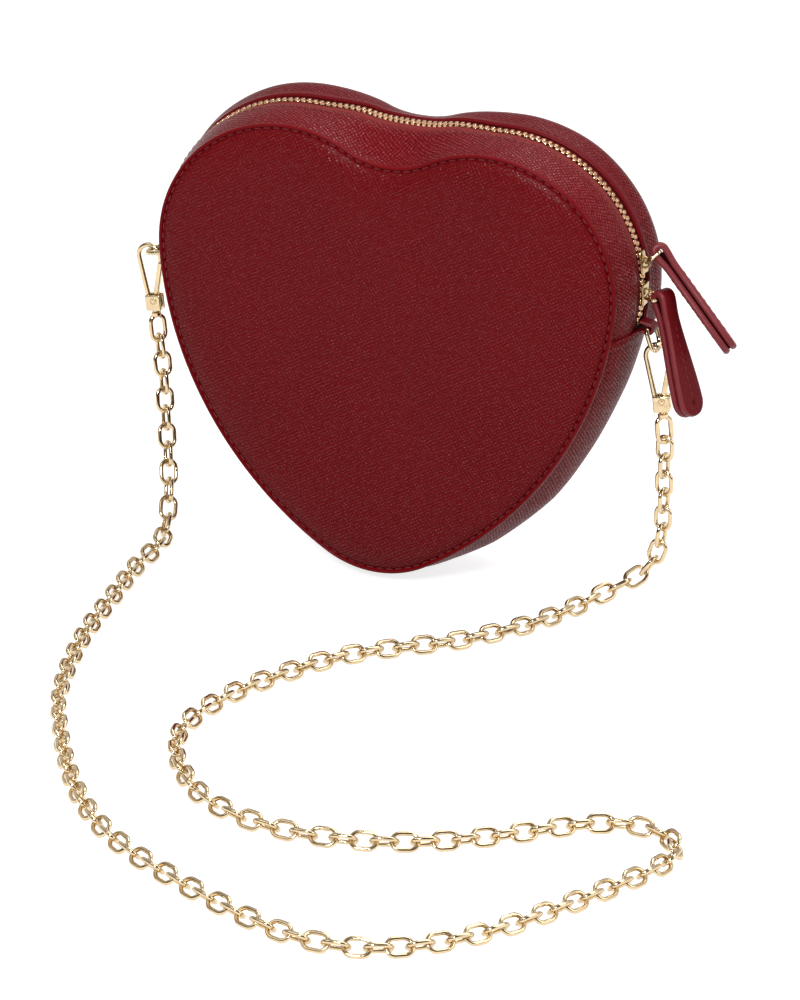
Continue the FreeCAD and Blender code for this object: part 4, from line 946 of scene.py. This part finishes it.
def heart_lining(name, side):
    """The cloth on a board's inner face, with slack waves."""
    inset = BOARD_INSET + LINING_INSET
    ring = whole_run.inside(inset)
    spots, _, triangles = filled(ring, inset)
    plane = np.concatenate([ring, spots])
    base = HALF_SPAN - BOARD_THICKNESS - LINING_GAP
    slack = ripple(in_xz(plane), LINING_RIPPLE_REACH, LINING_RIPPLE)
    near = in_xz(plane, side * (base - LINING_NEAR))
    far = in_xz(plane, side * (base - LINING_FAR + slack))
    count, total = len(ring), len(plane)
    faces = triangles + [[total + corner for corner in reversed(face)] for face in triangles]
    faces += [(index, (index + 1) % count, total + (index + 1) % count, total + index)
              for index in range(count)]
    build = Build()
    build.add(np.concatenate([near, far]), faces)
    cloth = build.piece(name + "_cloth", [LINING_CLOTH], "bag", "lining_cloth", [name])


# Zipper teeth

def tooth_shape():
    """One tooth of the front row: a foot round the tape's edge and a rounded head over the middle."""
    shell = Build()
    high = TOOTH_HEIGHT / 2
    rounded_box(shell, (-high, -TEETH_WIDTH / 2, -0.8), (high + 0.15, -0.5, 0.8), TOOTH_BEVEL)
    rounded_box(shell, (-0.8, -1.0, -0.58), (1.2, 0.45, 0.58), TOOTH_BEVEL)
    return np.array(shell.points), shell.faces


def teeth(name, facing, phase, stands_for):
    """A row of teeth along the upper run; facing -1 is the front row."""
    build = Build()
    points, faces = tooth_shape()
    points = points * (1, -facing, 1)
    first = TEETH_END_GAP + phase * TOOTH_PITCH
    places = np.arange(first, upper_run.length - TEETH_END_GAP, TOOTH_PITCH)
    for matrix in zip_frames(places, TAPE_MIDDLE):
        build.add(points, faces, matrix=matrix)
    build.piece(name, [TEETH_GOLD], "bag", "pale_gold", [stands_for], sharp=30)


# Sliders

# The bail's middle line as heights over the top plate and places along the slider
BAIL = [(-0.3, -2.1), (0.9, -2.05), (1.75, -1.5), (2.3, -0.6), (2.38, 0.2), (2.1, 1.1), (1.3, 1.85),
        (0.5, 2.05), (-0.3, 2.1)]


def slider_plate(foot):
    """A plate with rounded rims over a height, as a bmesh."""
    half = SLIDER_LENGTH / 2
    right = [(2.3, -half), (2.8, -half + 0.9), (3.0, 0.2), (3.55, half - 2.0), (3.4, half - 0.5), (2.4, half),
             (0.9, half - 0.35)]
    left = [(-y, z) for y, z in reversed(right)]
    shell = bmesh.new()
    face = shell.faces.new([shell.verts.new((foot, y, z)) for y, z in left[-1:] + right + left[:-1]])
    extruded = bmesh.ops.extrude_face_region(shell, geom=[face])
    for item in extruded["geom"]:
        if isinstance(item, bmesh.types.BMVert):
            item.co.x += SLIDER_PLATE
    rims = [edge for edge in shell.edges if abs(edge.verts[0].co.x - edge.verts[1].co.x) < 1e-6]
    bmesh.ops.bevel(shell, geom=rims, offset=SLIDER_BEVEL, segments=3, profile=0.5, affect="EDGES")
    return shell


def slider(name, angle, flipped):
    """A zipper slider: two rounded plates over and under the teeth, a post and an arched bail."""
    build = Build()
    ray = Vector((math.cos(math.radians(angle)), 0, math.sin(math.radians(angle))))
    onward = Vector((-ray.z, 0, ray.x))
    sign = -1 if flipped else 1
    origin = Vector((LOBE[0], ZIP_MIDDLE, LOBE[1])) + ray * LOBE_RADIUS
    matrix = frame_of(origin, ray, (0, sign, 0), onward * sign)
    low = TAPE_MIDDLE + TOOTH_HEIGHT / 2 + SLIDER_CLEARANCE
    deep = TAPE_MIDDLE - TOOTH_HEIGHT / 2 - SLIDER_CLEARANCE - SLIDER_PLATE
    for foot in (low, deep):
        build.add_shell(slider_plate(foot), matrix)
    half = SLIDER_LENGTH / 2
    rounded_box(build, (deep + 0.4, -0.4, half - 2.2), (low + 0.4, 0.4, half - 0.4), 0.12, matrix)
    bail = [(low + SLIDER_PLATE + lift, place) for lift, place in BAIL]
    tube(build, in_xz(bail), BAIL_RADIUS, sides=10, matrix=matrix, flat=BAIL_FLAT)
    build.piece(name + "_cast", [SHADED_GOLD], name, "pale_gold", [name], sharp=40)


# Leather folded round a bar

def folded_strip(build, path, half_widths, thickness, matrix, ends_round):
    """A thick strip along a path of XZ points, wide along Y, with painted edges in the second slot."""
    ahead = np.gradient(path, axis=0)
    ahead /= np.linalg.norm(ahead, axis=1)[:, None]
    outward = np.stack([-ahead[:, 1], ahead[:, 0]], 1)
    walked = walk(path)
    half = thickness / 2
    flat_steps = np.linspace(-1, 1, 7)
    nose = np.radians([65, 35, 0, -35, -65])
    rows, grains = [], []
    for spot, normal, here, half_width in zip(path, outward, walked, half_widths):
        to_end = min(here, walked[-1] - here)
        shrink = math.sqrt(max(0.05, 1 - max(0.0, 1 - to_end / ends_round) ** 2)) if ends_round else 1.0
        thick = half * shrink
        bull = min(0.75 * half, 0.6 * half_width)
        flat = half_width - bull
        face = [(y * flat, thick) for y in flat_steps]
        face += [(flat + bull * math.cos(a), thick * math.sin(a)) for a in nose]
        ring = face + [(-y, -lift) for y, lift in face]
        rows.append([(spot[0] + normal[0] * lift, y, spot[1] + normal[1] * lift) for y, lift in ring])
        grains.append([(here, y) for y, _ in ring])
    columns = len(rows[0])
    faces = capped_faces(len(path), columns)
    unpainted = {side + step for side in (0, columns // 2) for step in range(len(flat_steps) - 1)}
    slots = [0 if index % columns in unpainted else 1 for index in range(len(faces) - 2)] + [1, 1]
    build.add(np.array(rows), faces, grain=grains, matrix=matrix, slot=slots)


# The pull tab's legs lie this far off its middle, and its fold turns at this radius
TAB_LIE = (TAB_GAP + TAB_LAYER) / 2
TAB_TURN = PULL_RING_WIRE / 2 + TAB_CLEARANCE + TAB_LAYER / 2
HOLE_PROFILE = [(0.1, 0.1), (0.35, 0.3), (0.6, 0.42), (0.75, 0.4), (0.8, 0.2)]


def eased(share):
    """A share from 0 to 1 that starts and ends slowly."""
    return 3 * share ** 2 - 2 * share ** 3


def tab_half_width(height):
    """Half of the pull tab's width at a height, from the neck to its round end."""
    neck, wide = TAB_NECK / 2, TAB_WIDTH / 2
    bend = wide - TAB_LENGTH
    if height >= -TAB_FOLD:
        return neck
    if height >= bend:
        share = (height + TAB_FOLD) / (bend + TAB_FOLD)
        return neck + (wide - neck) * eased(share) ** 0.9
    return max(1.2, math.sqrt(max(0.0, wide ** 2 - (height - bend) ** 2)))


def tab_frame(prefix, angle):
    """The pull tab's frame: its bar at the origin along Y, the tab along -Z."""
    place, axis = hinge(prefix + "_tab_swing")
    across = -axis
    drop = Vector((math.cos(math.radians(angle)), 0, -math.sin(math.radians(angle))))
    upward = -(drop - across * drop.dot(across)).normalized()
    return frame_of(place, across.cross(upward), across, upward)


def tab_path():
    """The middle line of the tab's strip: up one leg, round the bar and down the other leg."""
    foot = TAB_LENGTH - 0.05
    bend = TAB_LENGTH - TAB_WIDTH / 2
    ends = foot - (foot - bend) * (1 - np.sin(np.linspace(0, math.pi / 2, 12)))
    heights = np.concatenate([-ends[::-1], -np.linspace(bend, TAB_FOLD, 22)[1:]])
    leg = [(-TAB_LIE, height) for height in heights]
    leg += [(-TAB_LIE - (TAB_TURN - TAB_LIE) * eased(share), -TAB_FOLD * (1 - share))
            for share in np.linspace(0, 1, 7)[1:-1]]
    over = arc_points((0, 0), TAB_TURN, 180, 0, 15)
    return np.concatenate([leg, over, [(-x, z) for x, z in leg[::-1]]])


def tab_core(build, matrix):
    """The glued core between the tab's legs, in the third slot; its near black colour is painted shade in the
    gap between the layers.
    """
    heights = np.linspace(TAB_CORE_RECESS - TAB_LENGTH, -PULL_RING_WIRE / 2 - 0.15, 40)
    core = []
    for height in heights:
        share = 1 + max(height, -TAB_FOLD) / TAB_FOLD
        half = TAB_GAP / 2 + 0.1 + (TAB_TURN - TAB_LIE) * eased(share)
        edge = max(0.3, tab_half_width(height) - TAB_CORE_RECESS)
        core += [(-half, -edge, height), (half, -edge, height), (half, edge, height), (-half, edge, height)]
    build.add(core, capped_faces(len(heights), 4), matrix=matrix, slot=2)


def pull_tab(prefix, angle):
    """The leather tab: one strip folded round the ring's bar, stitched down the middle of both faces."""
    matrix = tab_frame(prefix, angle)
    path = tab_path()
    build = Build()
    folded_strip(build, path, [tab_half_width(height) for _, height in path], TAB_LAYER, matrix, 1.0)
    tab_core(build, matrix)
    body = prefix + "_pull_tab"
    build.piece(body + "_leather", [TAB_LEATHER, EDGE_PAINT, PAINTED_SHADE_DARK], body, "burgundy_leather", [body],
                sharp=60)
    face = TAB_LIE + TAB_LAYER / 2
    heights = np.linspace(-TAB_FOLD - TAB_STITCH_START, -TAB_LENGTH + TAB_STITCH_END, 30)
    lines, holes = [], Build()
    for side in (-1, 1):
        line = np.array([(side * (face - 0.2), 0, height) for height in heights])
        outward = (matrix.to_3x3() @ Vector((side, 0, 0)))[:]
        lines.append((moved(matrix, line), outward))
        # The stitch holes are small near black domes: painted shade where the holes are
        spot = matrix @ Matrix.Translation((side * (face - 0.35), 0, -TAB_LENGTH + TAB_HOLE_RISE))
        lathe(holes, HOLE_PROFILE, 14, spot @ Matrix.Rotation(math.radians(90) * side, 4, "Y"))
    sew(body + "_stitches", lines, TAB_STITCH_PITCH, TAB_STITCH_LENGTH, body, TAB_THREAD_RADIUS)
    holes.piece(body + "_stitch_holes", [PAINTED_SHADE_DARK], body, "burgundy_leather")


def ring_tab(prefix, mirror):
    """The leather loop round a strap ring's bar, its legs sewn into the seam."""
    surface = SIDE_RADIUS + GUSSET_CROWN
    angle = math.asin((SEAM_HEIGHT - SIDE[1]) / surface)
    out = Vector((-math.cos(angle) if mirror else math.cos(angle), 0, math.sin(angle)))
    along = Vector((0, -1 if mirror else 1, 0))
    matrix = frame_of(hinge(prefix + "_ring_swing")[0], out, along, out.cross(along))
    turn = RING_WIRE / 2 + RING_TAB_CLEARANCE + RING_TAB_LEATHER / 2
    leg = [(x, turn) for x in np.linspace(-RING_STANDOFF - 0.6, -0.4, 8)]
    over = arc_points((0, 0), turn, 90, -90, 15)
    path = np.concatenate([leg, over, [(x, -z) for x, z in leg[::-1]]])
    build = Build()
    folded_strip(build, path, [RING_TAB_WIDTH / 2] * len(path), RING_TAB_LEATHER, matrix, 0)
    name = prefix + "_ring_tab"
    build.piece(name + "_leather", [TAB_LEATHER, EDGE_PAINT], "bag", "burgundy_leather", [name], sharp=60)


# Snap hooks

HOOK_FLOOR = -HOOK_LENGTH
PIVOT = np.array([PIVOT_OFFSET, PIVOT_RISE - HOOK_LENGTH])
GATE_BEVEL = 0.15
BLOCK_BEVEL = 0.45
INNER_BEVEL = 0.3

# The rivet's head as radius and height over the block's face
RIVET_HEAD = [(1.42, 0.0), (1.45, 0.2), (1.32, 0.32), (1.16, 0.3), (1.05, 0.12), (0.9, 0.12), (0.78, 0.26),
              (0.4, 0.34), (0.05, 0.36)]

# The swivel's collar and the stem's head, as radius and height over the eye's top and over the block's floor
COLLAR = [(0.3, -0.6), (1.5, -0.55), (1.95, -0.1), (2.1, 0.5), (2.05, 1.15), (1.6, 1.55), (STEM_RADIUS, 1.8)]
STEM_HEAD = [(STEM_RADIUS, 1.3), (1.8, 1.45), (1.8, 2.0), (0.3, 2.1)]


def hook_frame(prefix):
    """The hook's frame: the bow's centre at the origin, the hook along -Z in its XZ plane."""
    place, upward = hinge(prefix + "_hook_swivel")
    across = -hinge(prefix + "_gate_open")[1]
    return frame_of(place, across.cross(upward), across, upward)


def eye_frame(prefix):
    """The swivel eye's frame, turned about the hook's axis to meet the chain."""
    place, upward = hinge(prefix + "_hook_swivel")
    depth = Vector((0, 1, 0))
    matrix = frame_of(place, depth.cross(upward), depth, upward)
    return matrix @ Matrix.Rotation(math.radians(LINK_ROLL), 4, "Z")


def hook_cast(prefix):
    """The cast hook: a bent wire on a block with a slot for the gate."""
    matrix = hook_frame(prefix)
    root = np.array([(HOOK_WIRE - BLOCK_WIDTH) / 2, HOOK_FLOOR + BLOCK_HEIGHT / 2])
    lean = heading(root) - math.degrees(math.acos(BOW_RADIUS / np.linalg.norm(root)))
    bow = arc_points((0, 0), BOW_RADIUS, lean % 360, 0, 26)
    shank = np.linspace(root, bow[0], 10)[:-1]
    nose = [(BOW_RADIUS, -drop) for drop in (0.7, 1.4, NOSE_DROP - 0.15, NOSE_DROP)]
    path = in_xz(np.concatenate([shank, bow, nose]))
    radius = np.full(len(path), HOOK_WIRE / 2)
    radius[:6] += np.linspace(0.12, 0.0, 6)
    radius[-2:] = HOOK_WIRE / 2 * np.array([0.93, 0.7])
    build = Build()
    tube(build, path, radius, sides=16, matrix=matrix)
    half_slot = GATE_THICKNESS / 2 + GATE_SIDE_GAP
    wide, deep, top = BLOCK_WIDTH / 2, BLOCK_DEPTH / 2, HOOK_FLOOR + BLOCK_HEIGHT
    for low_y, high_y in ((-deep, -half_slot), (half_slot, deep)):
        rounded_box(build, (-wide, low_y, HOOK_FLOOR), (wide, high_y, top), BLOCK_BEVEL, matrix)
    slot_left = PIVOT_OFFSET - GATE_HUB - 0.45
    low, high = (-wide + 0.1, -deep + 0.3, HOOK_FLOOR + 0.1), (slot_left, deep - 0.3, top - 0.25)
    rounded_box(build, low, high, INNER_BEVEL, matrix)
    for low_x, high_x in ((-wide + 0.1, -2.0), (2.0, wide - 0.1)):
        low, high = (low_x, -deep + 0.2, HOOK_FLOOR + 0.05), (high_x, deep - 0.2, HOOK_FLOOR + 1.6)
        rounded_box(build, low, high, INNER_BEVEL, matrix)
    body = prefix + "_hook"
    build.piece(body + "_cast", [GOLD], body, "pale_gold", [body + "_body"], sharp=35)


def gate_lever(prefix):
    """The gate: a lever from its hub in the block to the hook's nose."""
    tip = np.array([BOW_RADIUS, -NOSE_DROP - GATE_END_GAP])
    reach = np.linalg.norm(tip - PIVOT)
    way = (tip - PIVOT) / reach
    lever = frame_of((PIVOT[0], 0, PIVOT[1]), (way[1], 0, -way[0]), (0, 1, 0), (way[0], 0, way[1]))
    lever = hook_frame(prefix) @ lever
    half = GATE_THICKNESS / 2
    build = Build()
    rounded_box(build, (-GATE_WIDTH / 2, -half, 0.4), (GATE_WIDTH / 2, half, reach), 0.4, lever)
    profile = [(PIN_RADIUS, -half), (GATE_HUB - GATE_BEVEL, -half), (GATE_HUB, -half + GATE_BEVEL),
               (GATE_HUB, half - GATE_BEVEL), (GATE_HUB - GATE_BEVEL, half), (PIN_RADIUS, half)]
    lathe(build, profile, 28, lever @ Matrix.Rotation(math.radians(90), 4, "X"))
    build.piece(prefix + "_gate_lever", [GOLD], prefix + "_gate", "pale_gold", [prefix + "_gate"], sharp=35)


def rivet(prefix):
    """The rivet pin through the block and the gate's hub."""
    pin = hook_frame(prefix) @ frame_of((PIVOT[0], 0, PIVOT[1]), (1, 0, 0), (0, 0, 1), (0, -1, 0))
    face = BLOCK_DEPTH / 2
    profile = [(0.2, -face - 0.02), (PIN_RADIUS, -face), (PIN_RADIUS, face)]
    profile += [(radius, face + height) for radius, height in RIVET_HEAD]
    build = Build()
    lathe(build, profile, 32, pin)
    build.piece(prefix + "_rivet", [GOLD], prefix + "_hook", "pale_gold", [prefix + "_gate_pin"], sharp=35)


def swivel_loop(prefix):
    """The swivel eye with its collar and stem. Gives the point where the chain's route meets it."""
    matrix = eye_frame(prefix)
    half, head = EYE_WIDTH / 2, HOOK_FLOOR - EYE_DROP
    low = head - EYE_LENGTH
    loop = np.concatenate([arc_points((0, head - half), half, 0, 180, 17)[:-1],
                           np.linspace((-half, head - half), (-half, low + half), 5)[:-1],
                           arc_points((0, low + half), half, 180, 360, 17)[:-1],
                           np.linspace((half, low + half), (half, head - half), 5)[:-1]])
    build = Build()
    tube(build, in_xz(loop), EYE_WIRE / 2, closed=True, sides=14, matrix=matrix)
    profile = [(radius, head + height) for radius, height in COLLAR]
    profile += [(radius, HOOK_FLOOR + height) for radius, height in STEM_HEAD]
    lathe(build, profile, 28, matrix)
    build.piece(prefix + "_swivel_loop", [GOLD], "bag", "pale_gold", [prefix + "_swivel_eye"], sharp=35)
    return matrix @ Vector((0, 0, low))


# Chain strap

def route_points(controls):
    """Closely spaced points of the route's spline, in millimetres."""
    curve = bpy.data.curves.new("strap_route", "CURVE")
    curve.dimensions = "3D"
    spline = curve.splines.new("NURBS")
    spline.points.add(len(controls) - 1)
    for point, control in zip(spline.points, controls):
        point.co = (*(Vector(control) * MM), 1.0)
    spline.order_u = 3
    spline.use_endpoint_u = True
    spline.resolution_u = 120
    item = put("strap_route", curve)
    bpy.context.view_layer.update()
    mesh = bpy.data.meshes.new_from_object(item)
    points = np.array([vertex.co[:] for vertex in mesh.vertices]) / MM
    bpy.data.objects.remove(item)
    bpy.data.meshes.remove(mesh)
    return points


def halved(low, high, passes, steps):
    """What halving leaves of a range whose lower part passes a test."""
    for _ in range(steps):
        middle = (low + high) / 2
        if passes(middle):
            low = middle
        else:
            high = middle
    return low, high


def link_centres(points, pitch, first):
    """Points a steady pitch apart along the route, the first one at a distance from its start."""
    centres, last, wanted = [], points[0], first
    for point, ahead in zip(points, points[1:]):
        while np.linalg.norm(ahead - last) >= wanted:
            span = ahead - point
            _, share = halved(0.0, 1.0, lambda part: np.linalg.norm(point + span * part - last) < wanted, 30)
            last = point + span * share
            centres.append(last)
            wanted = pitch
    return centres


def fitted_pitch(points, wanted, first):
    """The pitch nearest under the wanted one whose last link ends the route."""
    count = len(link_centres(points, wanted, first)) + 1
    return halved(0.9 * wanted, wanted, lambda pitch: len(link_centres(points, pitch, first)) >= count, 20)[0]


def link_shape():
    """The points and faces of one oval link along X."""
    half, reach = (LINK_WIDTH - LINK_WIRE) / 2, (LINK_LENGTH - LINK_WIRE) / 2
    straight = reach - half
    loop = np.concatenate([arc_points((straight, 0), half, -90, 90, 13),
                           arc_points((-straight, 0), half, 90, 270, 13)])
    link = Build()
    tube(link, np.column_stack([loop, np.zeros(len(loop))]), LINK_WIRE / 2, closed=True, sides=10)
    return np.array(link.points), link.faces


def chain(left_eye, right_eye):
    """Oval links along the route, every second one turned by a quarter."""
    points = route_points([tuple(left_eye)] + STRAP_ROUTE + [tuple(right_eye)])
    first = LINK_LENGTH / 2 - LINK_WIRE - EYE_WIRE / 2 - LINK_PLAY
    spline = points[np.linalg.norm(points - points[-1], axis=1) >= first]
    pitch = fitted_pitch(spline, LINK_LENGTH - 2 * LINK_WIRE - LINK_PLAY, first)
    centres = link_centres(spline, pitch, first)
    shape, faces = link_shape()
    build = Build()
    joined = [points[0], *centres, points[-1]]
    side = Vector((-1, 0, 0))
    for index, centre in enumerate(centres):
        along = Vector(joined[index + 2] - joined[index]).normalized()
        lying = abs(along.z) < LYING_SLOPE
        side = (along.cross(Vector((0, 0, 1))) if lying else side - along * side.dot(along)).normalized()
        matrix = frame_of(centre, along, side, along.cross(side))
        roll = math.radians(LINK_ROLL + 90 * (index % 2))
        build.add(shape, faces, matrix=matrix @ Matrix.Rotation(roll, 4, "X"))
    strap = build.piece("chain_strap", [GOLD], "bag", "pale_gold",
                        ["chain_left_drop", "chain_floor", "chain_right_drop"])


# Every piece of the purse
heart_panel("front_panel", -1, "front_topstitch", 0.0)
heart_panel("back_panel", 1, "back_topstitch", BACK_DRAWN_IN)
leather_strips()
tapes()
strip_linings()
strip_stitches()
heart_lining("front_lining", -1)
heart_lining("back_lining", 1)
teeth("front_teeth_row", -1, 0.0, "zipper_teeth_front")
teeth("rear_teeth_row", 1, 0.5, "zipper_teeth_rear")
slider("upper_slider", UPPER_SLIDER_ANGLE, True)
slider("lower_slider", LOWER_SLIDER_ANGLE, False)
pull_tab("upper", UPPER_TAB_ANGLE)
pull_tab("lower", LOWER_TAB_ANGLE)
ring_tab("left", True)
ring_tab("right", False)
eyes = []
for prefix in ("left", "right"):
    hook_cast(prefix)
    gate_lever(prefix)
    rivet(prefix)
    eyes.append(swivel_loop(prefix))
chain(*eyes)

# Solids that stay as they are take finished materials
KEPT = {"front_board": BOARD, "back_board": BOARD, "zipper_stops": GOLD, "upper_pull_ring": GOLD,
        "lower_pull_ring": GOLD, "left_d_ring": GOLD, "right_d_ring": GOLD, "left_gate_spring": STEEL,
        "right_gate_spring": STEEL}
for name, material in KEPT.items():
    solid = frame["nodes"][name]
    solid.data.materials.clear()
    solid.data.materials.append(material)


# Floor, light and camera, in metres

FLOOR_REACH = 12.0
FLOOR_DROP = 0.0006
FLOOR_GLOW = 0.8


def floor():
    """A white sheet of paper that keeps a faint shadow."""
    mesh = bpy.data.meshes.new("floor")
    corners = [(x * FLOOR_REACH, y * FLOOR_REACH, 0) for x, y in ((-1, -1), (1, -1), (1, 1), (-1, 1))]
    mesh.from_pydata(corners, [], [(0, 1, 2, 3)])
    item = put("floor", mesh)
    item.location.z = -FLOOR_DROP
    material, tree, surface = shader("white_paper")
    feed(tree, surface, {"Base Color": (0.4, 0.4, 0.4, 1), "Roughness": 0.9, "Specular IOR Level": 0.1})
    rays = add(tree, "LightPath")
    mirrored = reckon(tree, "MAXIMUM", rays.outputs["Is Glossy Ray"], rays.outputs["Is Transmission Ray"])
    seen = reckon(tree, "MAXIMUM", rays.outputs["Is Camera Ray"], mirrored)
    glow = add(tree, "Emission", {"Strength": reckon(tree, "MULTIPLY", seen, FLOOR_GLOW)})
    both = add(tree, "AddShader", {0: surface.outputs[0], 1: glow.outputs[0]})
    feed(tree, tree.nodes["Material Output"], {"Surface": both.outputs[0]})
    mesh.materials.append(material)


def studio_world():
    """A soft studio: light behind, dark on the side that the purse faces."""
    world = bpy.data.worlds.new("studio")
    bpy.context.scene.world = world
    world.use_nodes = True
    tree = world.node_tree
    depth = add(tree, "SeparateXYZ", {0: add(tree, "TexCoord").outputs["Generated"]}).outputs[1]
    ramp = add(tree, "ValToRGB", {"Fac": spread(tree, depth, old=(-1.0, 1.0))})
    tones = ((0.2, (0.06, 0.055, 0.05, 1)), (0.75, (1, 1, 1, 1)))
    for element, (position, colour) in zip(ramp.color_ramp.elements, tones):
        element.color = colour
        element.position = position
    feed(tree, tree.nodes["Background"], {"Color": ramp.outputs[0], "Strength": 0.7})


def lamp(name, position, aim, width, height, power):
    """A rectangular lamp that faces a point."""
    data = bpy.data.lights.new(name, "AREA")
    data.shape = "RECTANGLE"
    data.size, data.size_y, data.energy = width, height, power
    item = put(name, data)
    item.location = position
    item.rotation_euler = (Vector(aim) - Vector(position)).to_track_quat("-Z", "Y").to_euler()


def camera():
    """The photograph's viewpoint."""
    data = bpy.data.cameras.new("photo_camera")
    data.sensor_fit = "VERTICAL"
    data.sensor_height = 36.0
    data.lens = 196.0
    data.clip_end = 50.0
    item = put("photo_camera", data)
    place = (0.7125, -1.8704, 0.8479)
    right, up, back = (0.9295, 0.3675, 0.0309), (-0.1664, 0.3431, 0.9244), (0.3292, -0.8644, 0.3801)
    item.matrix_world = frame_of(place, right, up, back)
    bpy.context.scene.camera = item


floor()
studio_world()
lamp("key", (-0.9, -1.1, 1.5), (0, 0, 0.08), 1.1, 1.1, 6.0)
lamp("top", (0.3, 0.5, 1.7), (0, 0, 0.1), 1.4, 0.9, 16.0)
lamp("front", (0.2, -1.6, 1.1), (0, 0, 0.1), 0.25, 0.25, 26.0)
lamp("side", (1.5, -0.2, 0.9), (0, 0, 0.1), 0.8, 0.8, 6.0)
camera()
bpy.context.scene.view_settings.view_transform = "Standard"
